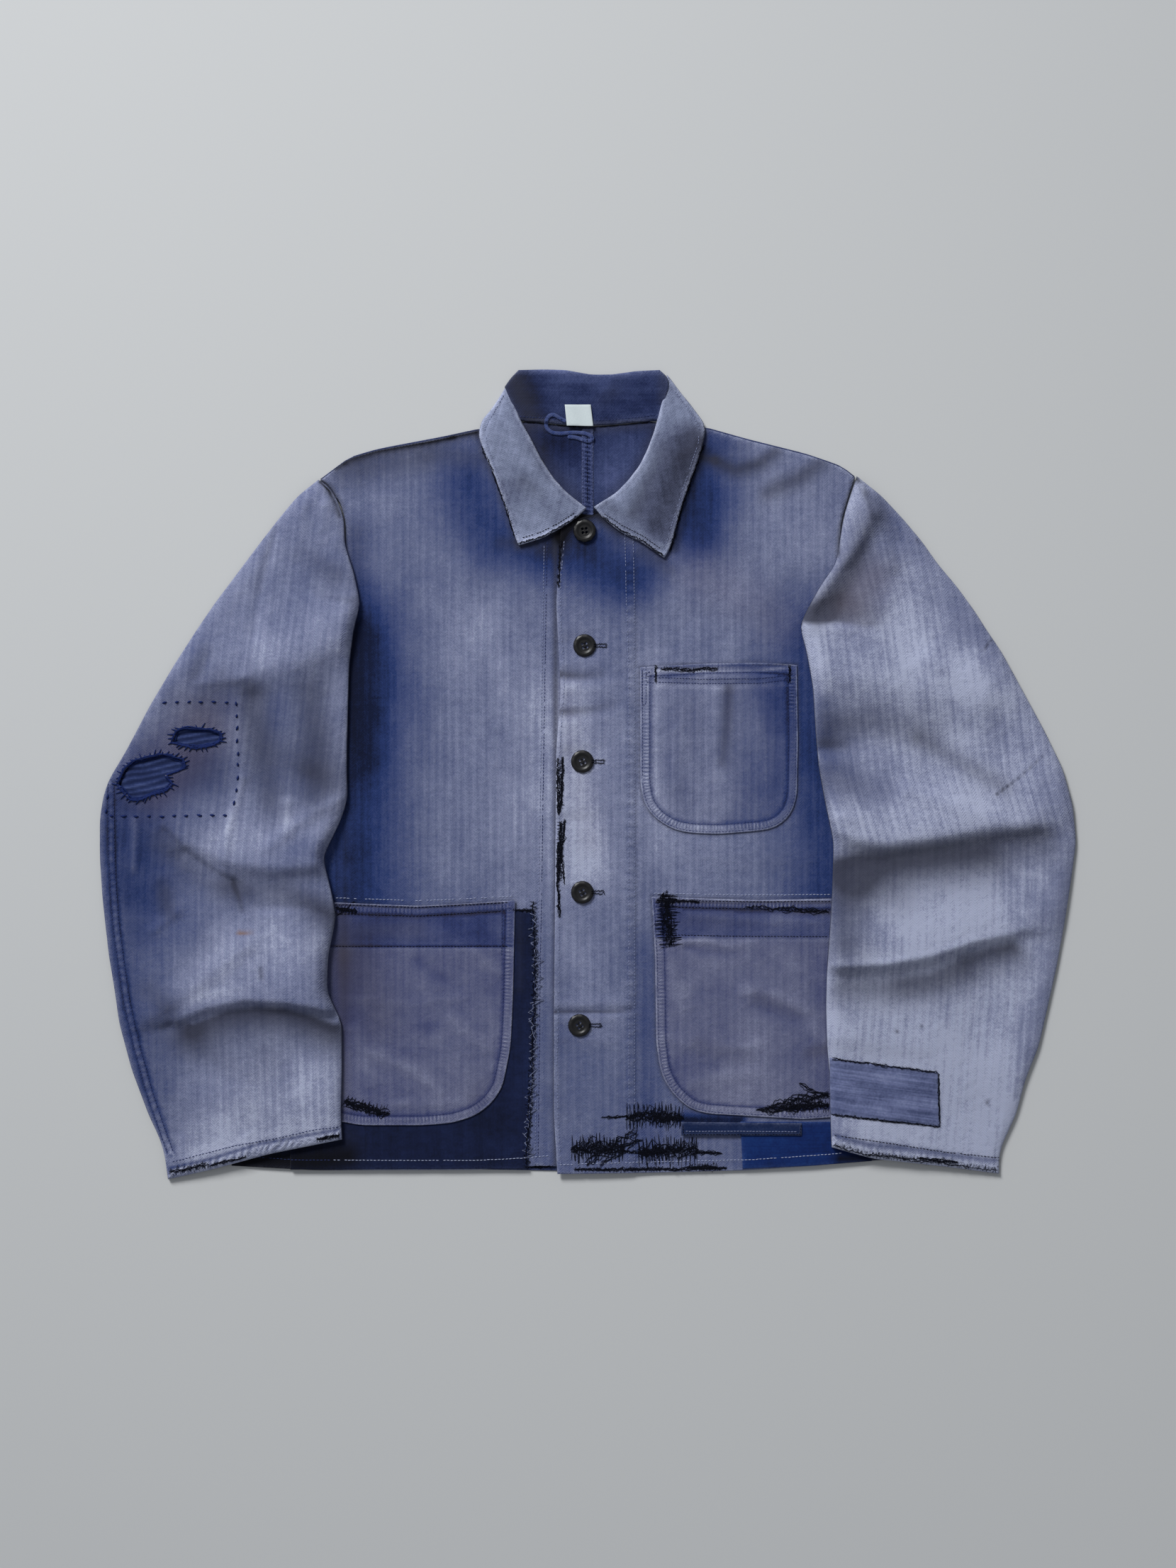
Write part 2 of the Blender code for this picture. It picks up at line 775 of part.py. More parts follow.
def sleeves() -> None:
    """Makes both sleeves, the right one worn through over its elbow patch."""
    right = Sleeve(
        SLEEVE_RIGHT_OUTLINE,
        FOLDS_RIGHT,
        (
            Carried(FRONT_RIGHT, 2 * LAYER + SPARE),
            Carried(NAVY_PATCH, 3 * LAYER + SPARE),
            Carried(POCKET_RIGHT, 4 * LAYER + SPARE),
        ),
    )
    left = Sleeve(
        SLEEVE_LEFT_OUTLINE,
        FOLDS_LEFT,
        (
            Carried(FRONT_LEFT, 2 * LAYER + SPARE),
            Carried(BLUE_PATCH, 3 * LAYER + SPARE),
            Carried(POCKET_LEFT, 3 * LAYER + SPARE),
        ),
    )
    panel("sleeve_right_under", right.outline, right.under(), INSIDE, UNDER_GRID)
    upper = panel("sleeve_right_upper", right.outline, right.upper(), FADED, SLEEVE_GRID)
    for name, outline in (("upper_hole", UPPER_HOLE), ("lower_hole", LOWER_HOLE)):
        cut = upper.modifiers.new(name, "BOOLEAN")
        cut.operation = "DIFFERENCE"
        cut.object = hole_cutter(name, outline)
    panel("patch_elbow", ELBOW_PATCH, raised(right.upper(), -LAYER), BRIGHT, SLEEVE_GRID)
    panel("sleeve_left_under", left.outline, left.under(), INSIDE, UNDER_GRID)
    panel("sleeve_left_upper", left.outline, left.upper(), FADED, SLEEVE_GRID)
    panel("patch_cuff", CUFF_PATCH, raised(left.upper(), LAYER), SLATE, SLEEVE_GRID)


def button_mesh() -> bpy.types.Mesh:
    """Returns a turned button with a sunk middle and four sewing holes."""
    profile = (
        (0.0, BUTTON_HEIGHT - BUTTON_SUNK),
        (BUTTON_DISH, BUTTON_HEIGHT - BUTTON_SUNK),
        (BUTTON_DISH + 0.8, BUTTON_HEIGHT),
        (BUTTON_RADIUS - 1.2, BUTTON_HEIGHT),
        (BUTTON_RADIUS, BUTTON_HEIGHT - 1.0),
        (BUTTON_RADIUS, 1.0),
        (BUTTON_RADIUS - 1.5, 0.0),
        (0.0, 0.0),
    )
    bm = bmesh.new()
    verts = [bm.verts.new((r * MM, 0, z * MM)) for r, z in profile]
    for a, b in zip(verts, verts[1:], strict=False):
        bm.edges.new((a, b))
    mesh = bpy.data.meshes.new("button_profile")
    bm.to_mesh(mesh)
    bm.free()
    turned = bpy.data.objects.new("button_profile", mesh)
    collection("cutters").objects.link(turned)
    screw = turned.modifiers.new("turn", "SCREW")
    screw.steps = screw.render_steps = BUTTON_STEPS
    screw.use_merge_vertices = True
    screw.merge_threshold = 1e-6
    holes = turned.modifiers.new("holes", "BOOLEAN")
    holes.operation = "DIFFERENCE"
    holes.object = sewing_holes()
    bpy.context.view_layer.update()
    graph = bpy.context.evaluated_depsgraph_get()
    made = bpy.data.meshes.new_from_object(turned.evaluated_get(graph))
    bpy.data.objects.remove(holes.object)
    bpy.data.objects.remove(turned)
    made.shade_smooth()
    made.set_sharp_from_angle(angle=math.radians(35))
    return made


def sewing_holes() -> bpy.types.Object:
    """Makes the cutter of a button's four holes."""
    bm = bmesh.new()
    for turn in range(4):
        made = bmesh.ops.create_cone(
            bm,
            cap_ends=True,
            segments=8,
            radius1=BUTTON_HOLE * MM,
            radius2=BUTTON_HOLE * MM,
            depth=4 * BUTTON_HEIGHT * MM,
        )
        angle = math.radians(45 + 90 * turn)
        away = Vector((math.cos(angle), math.sin(angle), 0)) * (BUTTON_HOLE_OUT * MM)
        bmesh.ops.translate(bm, verts=made["verts"], vec=away)
    mesh = bpy.data.meshes.new("sewing_holes")
    bm.to_mesh(mesh)
    bm.free()
    cutter = bpy.data.objects.new("sewing_holes", mesh)
    cutter.hide_render = True
    cutter.display_type = "WIRE"
    collection("cutters").objects.link(cutter)
    return cutter


def buttons() -> None:
    """Makes the five buttons on the lapped front."""
    mesh = button_mesh()
    stand = faceted(lap, FRONT_GRID)
    for number, point in enumerate(BUTTONS, start=1):
        made = place(f"button_{number}", mesh, HORN)
        made.location = Vector((point.x, point.y, stand(*point) + LAYER)) * MM


def main() -> None:
    """Clears the scene and builds the jacket."""
    for item in list(bpy.data.objects):
        bpy.data.objects.remove(item)
    backs()
    fronts()
    sleeves()
    collar()
    neck_trim()
    buttons()


main()
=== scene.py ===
"""Dresses the laid-out herringbone work jacket: its cloth, patches, stitches, buttons, floor and light.

Everything stands in the frame of the CAD model, with the collar towards +Y and the wearer's left at +X.
Outlines and layer heights are read from the CAD nodes. Tables and all working sizes are in millimetres
and become metres where a mesh is made.
"""

from __future__ import annotations

import json
import logging
import math
from collections.abc import Callable, Sequence
from dataclasses import dataclass, field
from enum import Enum

import bpy
import numpy as np
from mathutils import Vector
from mathutils.bvhtree import BVHTree
from mathutils.geometry import delaunay_2d_cdt
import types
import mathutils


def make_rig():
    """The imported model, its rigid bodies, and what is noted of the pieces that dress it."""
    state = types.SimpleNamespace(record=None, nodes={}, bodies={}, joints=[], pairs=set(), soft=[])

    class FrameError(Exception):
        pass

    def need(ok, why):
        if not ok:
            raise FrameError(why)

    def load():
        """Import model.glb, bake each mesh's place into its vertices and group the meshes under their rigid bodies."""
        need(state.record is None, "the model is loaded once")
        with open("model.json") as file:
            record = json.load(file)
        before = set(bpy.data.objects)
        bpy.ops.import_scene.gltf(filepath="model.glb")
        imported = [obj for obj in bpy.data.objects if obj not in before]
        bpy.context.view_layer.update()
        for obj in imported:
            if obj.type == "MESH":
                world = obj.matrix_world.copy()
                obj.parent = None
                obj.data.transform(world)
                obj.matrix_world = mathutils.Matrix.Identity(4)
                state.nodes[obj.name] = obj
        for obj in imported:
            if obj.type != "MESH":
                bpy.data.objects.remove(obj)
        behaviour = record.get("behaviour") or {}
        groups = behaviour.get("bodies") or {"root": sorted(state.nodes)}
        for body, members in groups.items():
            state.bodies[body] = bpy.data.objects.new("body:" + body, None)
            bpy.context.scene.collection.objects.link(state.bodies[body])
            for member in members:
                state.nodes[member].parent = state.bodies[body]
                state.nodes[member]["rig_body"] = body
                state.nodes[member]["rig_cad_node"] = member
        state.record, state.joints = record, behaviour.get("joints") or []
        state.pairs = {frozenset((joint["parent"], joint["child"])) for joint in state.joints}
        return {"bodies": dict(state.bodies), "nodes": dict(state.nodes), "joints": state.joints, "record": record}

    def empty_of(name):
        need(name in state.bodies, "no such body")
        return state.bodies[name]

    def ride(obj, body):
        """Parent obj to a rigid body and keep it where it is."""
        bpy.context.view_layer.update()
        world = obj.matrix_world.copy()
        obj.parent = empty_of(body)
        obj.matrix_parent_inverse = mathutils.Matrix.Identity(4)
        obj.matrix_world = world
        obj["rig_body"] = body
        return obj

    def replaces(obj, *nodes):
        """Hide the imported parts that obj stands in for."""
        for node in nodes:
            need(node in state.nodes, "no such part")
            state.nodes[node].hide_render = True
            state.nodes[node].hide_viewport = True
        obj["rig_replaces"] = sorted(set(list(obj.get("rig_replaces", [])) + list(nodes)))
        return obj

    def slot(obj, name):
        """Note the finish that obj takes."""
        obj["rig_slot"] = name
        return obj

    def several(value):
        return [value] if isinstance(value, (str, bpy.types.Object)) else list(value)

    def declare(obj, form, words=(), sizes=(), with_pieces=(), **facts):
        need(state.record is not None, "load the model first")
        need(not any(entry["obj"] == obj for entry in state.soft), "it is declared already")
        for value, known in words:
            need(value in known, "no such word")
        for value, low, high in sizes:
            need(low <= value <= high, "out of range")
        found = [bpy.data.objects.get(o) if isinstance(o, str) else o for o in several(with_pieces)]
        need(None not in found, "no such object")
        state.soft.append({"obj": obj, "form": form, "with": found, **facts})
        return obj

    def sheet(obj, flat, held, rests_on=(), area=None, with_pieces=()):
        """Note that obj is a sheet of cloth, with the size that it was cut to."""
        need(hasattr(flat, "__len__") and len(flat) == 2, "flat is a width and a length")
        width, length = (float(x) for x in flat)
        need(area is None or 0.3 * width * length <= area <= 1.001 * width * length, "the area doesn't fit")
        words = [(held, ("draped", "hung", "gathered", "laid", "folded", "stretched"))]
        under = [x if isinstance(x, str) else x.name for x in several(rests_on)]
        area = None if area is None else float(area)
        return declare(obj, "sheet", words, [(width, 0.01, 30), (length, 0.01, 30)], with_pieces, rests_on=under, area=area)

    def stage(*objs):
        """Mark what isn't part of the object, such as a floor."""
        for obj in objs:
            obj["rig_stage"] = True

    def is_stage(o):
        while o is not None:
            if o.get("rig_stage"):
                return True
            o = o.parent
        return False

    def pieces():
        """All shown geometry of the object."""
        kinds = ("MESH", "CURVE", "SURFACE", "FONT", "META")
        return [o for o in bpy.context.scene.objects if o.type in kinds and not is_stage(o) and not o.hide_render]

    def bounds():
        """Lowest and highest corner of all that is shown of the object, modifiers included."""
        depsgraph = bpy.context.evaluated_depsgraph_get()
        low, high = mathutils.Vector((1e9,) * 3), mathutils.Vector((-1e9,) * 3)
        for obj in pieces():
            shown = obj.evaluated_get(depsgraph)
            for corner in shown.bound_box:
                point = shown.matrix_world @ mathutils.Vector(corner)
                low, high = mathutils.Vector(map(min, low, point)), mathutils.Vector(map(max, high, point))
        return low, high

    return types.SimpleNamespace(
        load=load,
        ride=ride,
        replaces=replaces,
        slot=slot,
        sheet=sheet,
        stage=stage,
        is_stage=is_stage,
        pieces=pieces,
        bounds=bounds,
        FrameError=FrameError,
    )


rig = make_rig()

LOG = logging.getLogger("work_jacket")
MM = 0.001
CLOTH = 1.0  # the thickness of one layer
GAP = 0.4  # between layers
TURN = 2 * math.pi

Array = np.ndarray
Field = Callable[[Array], Array]
Line = tuple[float, ...]  # x and y of each point in turn
Corners = tuple[tuple[float, float], ...]
Socket = bpy.types.NodeSocket
Piece = bpy.types.Object


# ---------------------------------------------------------------- lines, outlines and uneven surfaces


def course(line: Sequence[float]) -> Array:
    """Returns the points of a line of a table, (n, 2)."""
    return np.array(line, float).reshape(-1, 2)


def bell(value: Array, reach: Array | float) -> Array:
    """Returns 1 where a value is 0, falling off softly over a reach."""
    return np.exp(-((value / reach) ** 2))


def normals(heading: Array) -> Array:
    """Returns the unit steps to the left of a run's heading at each point."""
    heading = heading / np.maximum(np.hypot(*heading.T), 1e-9)[:, None]
    return np.column_stack([-heading[:, 1], heading[:, 0]])


class Path:
    """A run of straight pieces, in mm, that places can be measured against."""

    CHUNK = 4096

    def __init__(self, points: Array, closed: bool = False) -> None:
        """Keeps the pieces of a run.

        Args:
            points: The run's corners, (n, 2).
            closed: Whether the last corner joins the first.
        """
        ends = np.roll(points, -1, 0) if closed else points[1:]
        self.start = points if closed else points[:-1]
        self.step = ends - self.start
        self.length = np.maximum(np.hypot(*self.step.T), 1e-9)
        self.before = np.concatenate([[0.0], np.cumsum(self.length)[:-1]])
        self.total = float(self.length.sum())

    def nearest(self, at: Array) -> tuple[Array, Array, Array]:
        """Measures places against the run.

        Args:
            at: The places, (n, 2).

        Returns:
            The distance of each, how far along the run its nearest point is, and how far the place is
            above that point.
        """
        away, along, above = (np.empty(len(at)) for _ in range(3))
        for low in range(0, len(at), self.CHUNK):
            part = slice(low, low + self.CHUNK)
            rel = at[part, None] - self.start
            share = np.clip((rel * self.step).sum(-1) / self.length**2, 0, 1)
            gap = rel - share[..., None] * self.step
            reach = np.hypot(gap[..., 0], gap[..., 1])
            k = reach.argmin(1)
            rows = np.arange(len(k))
            away[part] = reach[rows, k]
            along[part] = self.before[k] + share[rows, k] * self.length[k]
            above[part] = gap[rows, k, 1]
        return away, along, above


def inside(loops: Sequence[Array], at: Array) -> Array:
    """Tells which places lie within an outline and outside its holes.

    Args:
        loops: The outline and its holes, each (n, 2).
        at: The places, (n, 2).

    Returns:
        One truth value a place.
    """
    found = np.zeros(len(at), bool)
    for loop in loops:
        a, b = loop, np.roll(loop, -1, 0)
        level_side = a[:, 1] == b[:, 1]
        slope = (b[:, 0] - a[:, 0]) / np.where(level_side, 1.0, b[:, 1] - a[:, 1])
        for low in range(0, len(at), Path.CHUNK):
            x, y = at[low : low + Path.CHUNK, :1], at[low : low + Path.CHUNK, 1:]
            crossed = ((a[:, 1] > y) != (b[:, 1] > y)) & (x < a[:, 0] + (y - a[:, 1]) * slope)
            found[low : low + Path.CHUNK] ^= crossed.sum(1) % 2 == 1
    return found


def spaced(points: Array, step: float, closed: bool = False) -> Array:
    """Returns points at even distances along a run, ends included where it is open."""
    points = np.asarray(points, float)
    run = np.vstack([points, points[:1]]) if closed else points
    lengths = np.concatenate([[0.0], np.cumsum(np.hypot(*np.diff(run, axis=0).T))])
    count = max(round(lengths[-1] / step), 3 if closed else 1)
    at = np.linspace(0, lengths[-1], count + 1)[: count if closed else None]
    return np.stack([np.interp(at, lengths, column) for column in run.T], 1)


def eased(loop: Array, step: float, reach: float, corner: float = 42.0) -> Array:
    """Respaces a closed outline and rounds its slight bends.

    Args:
        loop: The outline, (n, 2).
        step: The new distance between points.
        reach: How far a bend is spread.
        corner: A turn of more degrees than this stays sharp.

    Returns:
        The new outline.
    """
    loop = np.asarray(loop, float)
    ahead = np.roll(loop, -1, 0) - loop
    angle = np.arctan2(ahead[:, 1], ahead[:, 0])
    turn = np.abs((angle - np.roll(angle, 1) + math.pi) % TURN - math.pi)
    corners = np.flatnonzero(turn > math.radians(corner))
    if not len(corners):
        out, fixed = spaced(loop, step, closed=True), None
    else:
        runs, marks = [], []
        for a, b in zip(corners, np.roll(corners, -1), strict=True):
            count = (b - a) % len(loop) or len(loop)
            run = spaced(loop[(a + np.arange(count + 1)) % len(loop)], step)[:-1]
            runs.append(run)
            marks.append(np.arange(len(run)) == 0)
        out, fixed = np.vstack(runs), np.concatenate(marks)
    for _ in range(int(2 * (reach / step) ** 2)):
        mean = 0.25 * np.roll(out, 1, 0) + 0.5 * out + 0.25 * np.roll(out, -1, 0)
        out = mean if fixed is None else np.where(fixed[:, None], out, mean)
    return out


def inset(run: Array, by: float, closed: bool = False) -> Array:
    """Returns a run moved to its left by a distance, which is inwards on an outline."""
    before, after = np.roll(run, 1, 0), np.roll(run, -1, 0)
    if not closed:
        before[0], after[-1] = run[0], run[-1]
    return run + by * normals(after - before)


def area_of(loop: Array) -> float:
    """Returns the area within an outline, positive where it runs anticlockwise."""
    after = np.roll(loop, -1, 0)
    return 0.5 * float((loop[:, 0] * after[:, 1] - after[:, 0] * loop[:, 1]).sum())


def ramp(value: Array, low: float, high: float) -> Array:
    """Returns an eased step from 0 at one value to 1 at another."""
    t = np.clip((value - low) / (high - low), 0, 1)
    return t * t * (3 - 2 * t)


@dataclass(frozen=True)
class Stroke:
    """A soft ridge, or a soft patch of colour, along a line, in mm.

    It reaches one distance towards the collar and another towards the hem, and its amount runs from one
    end of the line to the other.
    """

    line: Line
    above: float
    below: float
    start: float
    end: float

    def at(self, places: Array) -> Array:
        """Returns the stroke's amount at each place."""
        path = Path(course(self.line))
        away, along, above = path.nearest(places)
        lean = np.clip(1.4 * above / np.maximum(away, 1e-6), -1, 1)
        reach = 0.5 * (self.above + self.below) + 0.5 * lean * (self.above - self.below)
        amount = self.start + along / path.total * (self.end - self.start)
        return amount * bell(away, reach)


@dataclass(frozen=True)
class Drift:
    """Seeded smooth unevenness between -1 and 1, with its size across and along the cloth, in mm."""

    seed: int
    across: float
    along: float
    TABLE = 64

    def at(self, places: Array) -> Array:
        """Returns the unevenness at each place."""
        table = np.random.default_rng(self.seed).uniform(-1, 1, (self.TABLE, self.TABLE))
        spot = places / (self.across, self.along) + 17.31
        cell = np.floor(spot).astype(int)
        part = spot - cell
        part = part * part * (3 - 2 * part)
        (i, j), (u, v) = cell.T % self.TABLE, part.T
        k, m = (i + 1) % self.TABLE, (j + 1) % self.TABLE
        low = table[i, j] * (1 - u) + table[k, j] * u
        return low * (1 - v) + (table[i, m] * (1 - u) + table[k, m] * u) * v


@dataclass(frozen=True)
class Strokes:
    """A table of strokes on a base value, with a share of unevenness."""

    rows: tuple[Stroke, ...]
    base: float = 0.0
    share: float = 0.0
    drift: Drift | None = None

    def __call__(self, at: Array) -> Array:
        """Returns the sum at each place."""
        value = self.base + sum((row.at(at) for row in self.rows), np.zeros(len(at)))
        return value + self.share * self.drift.at(at) if self.drift else value


def strokes(*rows: tuple[Line, float, float, float, float], **settings: float | Drift) -> Strokes:
    """Returns the table of these rows."""
    return Strokes(tuple(Stroke(*row) for row in rows), **settings)


# ---------------------------------------------------------------- what the CAD model says


class Face(Enum):
    """The side of a CAD node that is read."""

    UPPER = -1
    LOWER = 1


class Ground:
    """The height of one face of a CAD node over the plane, with its facets smoothed, in mm."""

    PITCH = 5.0
    FILL = 8
    ROUNDS = 4

    def __init__(self, node: Node, face: Face) -> None:
        """Samples a node.

        Args:
            node: The CAD node.
            face: The side that is read.
        """
        margin = 2 * self.PITCH
        self.low = node.points[:, :2].min(0) - margin
        span = node.points[:, :2].max(0) + margin - self.low
        shape = np.ceil(span / self.PITCH).astype(int) + 1
        heights = np.full(shape, np.nan)
        for i, j in np.ndindex(*shape):
            x, y = self.low + np.array((i, j)) * self.PITCH
            hit = node.tree.ray_cast((x, y, -100.0 * face.value), (0, 0, float(face.value)))[0]
            if hit is not None:
                heights[i, j] = hit.z
        for _ in range(self.FILL):
            heights = self.filled(heights)
        heights = np.where(np.isnan(heights), np.nanmean(heights), heights)
        for _ in range(self.ROUNDS):
            wide = np.pad(heights, 1, mode="edge")
            rows = 0.25 * (wide[:-2] + wide[2:]) + 0.5 * wide[1:-1]
            heights = 0.25 * (rows[:, :-2] + rows[:, 2:]) + 0.5 * rows[:, 1:-1]
        self.heights = heights

    @staticmethod
    def filled(heights: Array) -> Array:
        """Returns the heights with each empty place beside a known one given their mean."""
        wide = np.pad(heights, 1, constant_values=np.nan)
        ring = [wide[:-2, 1:-1], wide[2:, 1:-1], wide[1:-1, :-2], wide[1:-1, 2:]]
        known = sum(~np.isnan(side) for side in ring)
        total = sum(np.nan_to_num(side) for side in ring)
        mean = np.where(known > 0, total / np.maximum(known, 1), np.nan)
        return np.where(np.isnan(heights), mean, heights)

    def __call__(self, at: Array) -> Array:
        """Returns the height at each place."""
        spot = (at - self.low) / self.PITCH
        limit = np.array(self.heights.shape) - 2
        cell = np.clip(np.floor(spot).astype(int), 0, limit)
        (u, v), (i, j) = np.clip(spot - cell, 0, 1).T, cell.T
        low = self.heights[i, j] * (1 - u) + self.heights[i + 1, j] * u
        high = self.heights[i, j + 1] * (1 - u) + self.heights[i + 1, j + 1] * u
        return low * (1 - v) + high * v


class Node:
    """One CAD node's points and faces, in mm."""

    def __init__(self, name: str, frame: dict) -> None:
        """Reads a node.

        Args:
            name: Its name.
        """
        mesh = frame["nodes"][name].data
        mesh.calc_loop_triangles()
        points = np.array([vert.co for vert in mesh.vertices]) / MM
        corners = np.array([tri.vertices for tri in mesh.loop_triangles])
        self.points, index = np.unique(np.round(points, 2), axis=0, return_inverse=True)
        self.corners = index.reshape(-1)[corners]
        self.tree = BVHTree.FromPolygons(self.points.tolist(), self.corners.tolist())

    def faces(self) -> tuple[Ground, Ground]:
        """Returns the upper face and the lower one."""
        return Ground(self, Face.UPPER), Ground(self, Face.LOWER)

    def loops(self, least: float = 0.5) -> list[Array]:
        """Returns the outline of the upper face and then its holes, each (n, 2)."""
        a, b, c = (self.points[self.corners[:, k]] for k in range(3))
        normal = np.cross(b - a, c - a)
        up = self.corners[normal[:, 2] > least * np.maximum(np.linalg.norm(normal, axis=1), 1e-9)]
        pairs = np.concatenate([up[:, [0, 1]], up[:, [1, 2]], up[:, [2, 0]]]).tolist()
        known = set(map(tuple, pairs))
        ahead = {a: b for a, b in sorted(known) if (b, a) not in known}
        found = []
        while ahead:
            start, here = next(iter(ahead.items()))
            del ahead[start]
            loop = [start]
            while here in ahead:
                loop.append(here)
                here = ahead.pop(here)
            found.append(self.points[loop][:, :2])
        return sorted(found, key=lambda loop: -abs(area_of(loop)))


# ---------------------------------------------------------------- meshes


@dataclass
class Skin:
    """A closed mesh under way: points and faces in mm."""

    points: list[Array] = field(default_factory=list)
    faces: list[Array] = field(default_factory=list)
    count: int = 0

    def add(self, points: Array, faces: Array) -> None:
        """Adds points (n, 3) and faces (m, 3 or 4) that count from the first of them."""
        self.points.append(points)
        self.faces.append(faces + self.count)
        self.count += len(points)

    def mesh(self, name: str) -> bpy.types.Mesh:
        """Returns the mesh, in metres and shaded smooth."""
        made = bpy.data.meshes.new(name)
        faces = [face for block in self.faces for face in block.tolist()]
        made.from_pydata((np.vstack(self.points) * MM).tolist(), [], faces)
        made.validate()
        made.shade_smooth()
        return made


@dataclass
class Shell:
    """A layer of cloth with a rounded rim, in mm. Its lower face is coarse unless it is a twin."""

    loops: list[Array]
    top: Field
    bottom: Field
    pitch: float = 2.6
    coarse: float = 12.0
    rim: float = 0.8
    rings: tuple[float, ...] = (0.35, 1.0)
    extra: tuple[Array, ...] = ()
    hole_pitch: float = 1.3
    twin: bool = False
    ROUGH = 6.0

    def __post_init__(self) -> None:
        """Turns the outline anticlockwise and the holes clockwise, and keeps rough copies."""
        turned = []
        for k, loop in enumerate(self.loops):
            turned.append(loop if (area_of(loop) > 0) == (k == 0) else loop[::-1])
        self.loops = turned
        self.rough = [eased(loop, self.ROUGH if k == 0 else 2.5, 0.0) for k, loop in enumerate(turned)]
        self.edge = [Path(loop, closed=True) for loop in self.rough]

    def skin(self) -> Skin:
        """Returns the closed mesh of the layer."""
        loops = [
            eased(loop, self.pitch if k == 0 else self.hole_pitch, 0.0) for k, loop in enumerate(self.loops)
        ]
        rings = [inset(loop, share * self.rim, closed=True) for loop in loops for share in self.rings]
        upper = self.flat(loops, rings, self.pitch, self.extra)
        rim = sum(len(loop) for loop in loops)
        edge_at, top_at = upper[0][:rim], upper[0][rim:]
        share = np.sqrt(1 - (1 - np.clip(self.distance(top_at) / self.rim, 0, 1)) ** 2)
        high, low = self.top(top_at), self.bottom(top_at)
        middle = 0.5 * (high + low)
        blocks = [
            np.column_stack([edge_at, 0.5 * (self.top(edge_at) + self.bottom(edge_at))]),
            np.column_stack([top_at, middle + share * (high - middle)])
        ]
        if self.twin:
            lower = upper
            blocks.append(np.column_stack([top_at, middle - share * (middle - low)]))
        else:
            lower = self.flat(loops, rings[len(self.rings) - 1 :: len(self.rings)], self.coarse, ())
            bottom_at = lower[0][rim:]
            blocks.append(np.column_stack([bottom_at, self.bottom(bottom_at)]))
        under = lower[1][:, ::-1]
        under = np.where(under >= rim, under + len(top_at), under)
        skin = Skin()
        skin.add(np.vstack(blocks), np.vstack([upper[1], under]))
        return skin

    def distance(self, at: Array) -> Array:
        """Returns the distance of each place from the nearest edge."""
        return np.min([edge.nearest(at)[0] for edge in self.edge], axis=0)

    def flat(
        self, loops: list[Array], rings: list[Array], pitch: float, extra: tuple[Array, ...]
    ) -> tuple[Array, Array]:
        """Fills the outline with triangles.

        Args:
            loops: The outline and holes, which come first among the points.
            rings: Runs just inside them.
            pitch: The distance between the points of the filling.
            extra: More points, such as those along seams.

        Returns:
            The points (n, 2) and triangles (m, 3).
        """
        own = [ring[inside(loops, ring)] for ring in rings]
        own = [ring[self.distance(ring) > 0.25 * self.rim] for ring in own]
        more = [part[inside(self.rough, part)] for part in extra]
        more = [part[self.distance(part) > self.rim + 0.3] for part in more]
        low, high = self.loops[0].min(0), self.loops[0].max(0)
        ys = np.arange(low[1], high[1], pitch * 0.866)
        xs = np.arange(low[0], high[0] + pitch, pitch)
        grid = np.stack(np.meshgrid(xs, ys), -1)
        grid[1::2, :, 0] += 0.5 * pitch
        grid = grid.reshape(-1, 2)
        grid = grid[inside(self.rough, grid)]
        grid = grid[self.distance(grid) > self.rim + 0.45 * pitch]
        if more:
            grid = grid[self.clear(grid, np.vstack(more), 0.55 * pitch)]
        border = np.vstack(loops)
        ends, at = [], 0
        for loop in loops:
            ends += [(at + k, at + (k + 1) % len(loop)) for k in range(len(loop))]
            at += len(loop)
        cloud = np.vstack([border, *own, *more, grid])
        made = delaunay_2d_cdt([Vector(p) for p in cloud.tolist()], ends, [], 0, 1e-4)
        points, faces = np.array(made[0]), np.array(made[2])
        # The rim's points come first in what Blender returns, in the order given.
        if len(points) < len(border) or np.abs(points[: len(border)] - border).max() > 1e-3:
            raise RuntimeError("the outline's points were merged")
        # Blender rounds the points, so the triangles are sorted by the rounded outline.
        starts = np.cumsum([len(loop) for loop in loops])[:-1]
        rounded = np.split(points[: len(border)], starts)
        return points, faces[inside(rounded, points[faces].mean(1))]

    @staticmethod
    def clear(grid: Array, taken: Array, room: float) -> Array:
        """Tells which places of a grid have none of the taken ones within about a distance."""
        cells = np.floor(taken / room).astype(int)
        used = {(i + a, j + b) for i, j in cells.tolist() for a in (-1, 0, 1) for b in (-1, 0, 1)}
        spots = np.floor(grid / room).astype(int).tolist()
        return np.array([(i, j) not in used for i, j in spots], bool)


def placed(name: str, data: bpy.types.ID) -> Piece:
    """Returns a new object of the scene that holds a mesh, a lamp or a lens."""
    made = bpy.data.objects.new(name, data)
    bpy.context.scene.collection.objects.link(made)
    return made


def put(name: str, mesh: bpy.types.Mesh, finish: Finish, slot: str) -> Piece:
    """Makes a piece of a mesh.

    Args:
        name: The piece's name.
        mesh: Its mesh, in the shared frame.
        finish: Its finish.
        slot: The record's slot that it takes its finish from.

    Returns:
        The piece, which rides on the jacket's only body.
    """
    made = placed(f"dressed_{name}", mesh)
    mesh.materials.append(finish.make())
    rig.ride(made, "root")
    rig.slot(made, slot)
    LOG.info("%s: %d faces", name, len(mesh.polygons))
    return made


# ---------------------------------------------------------------- finishes


def linear(code: str) -> tuple[float, float, float, float]:
    """Returns a colour of Blender from an sRGB hex code."""
    parts = [int(code[k : k + 2], 16) / 255 for k in (1, 3, 5)]
    red, green, blue = (p / 12.92 if p <= 0.04045 else ((p + 0.055) / 1.055) ** 2.4 for p in parts)
    return (red, green, blue, 1.0)


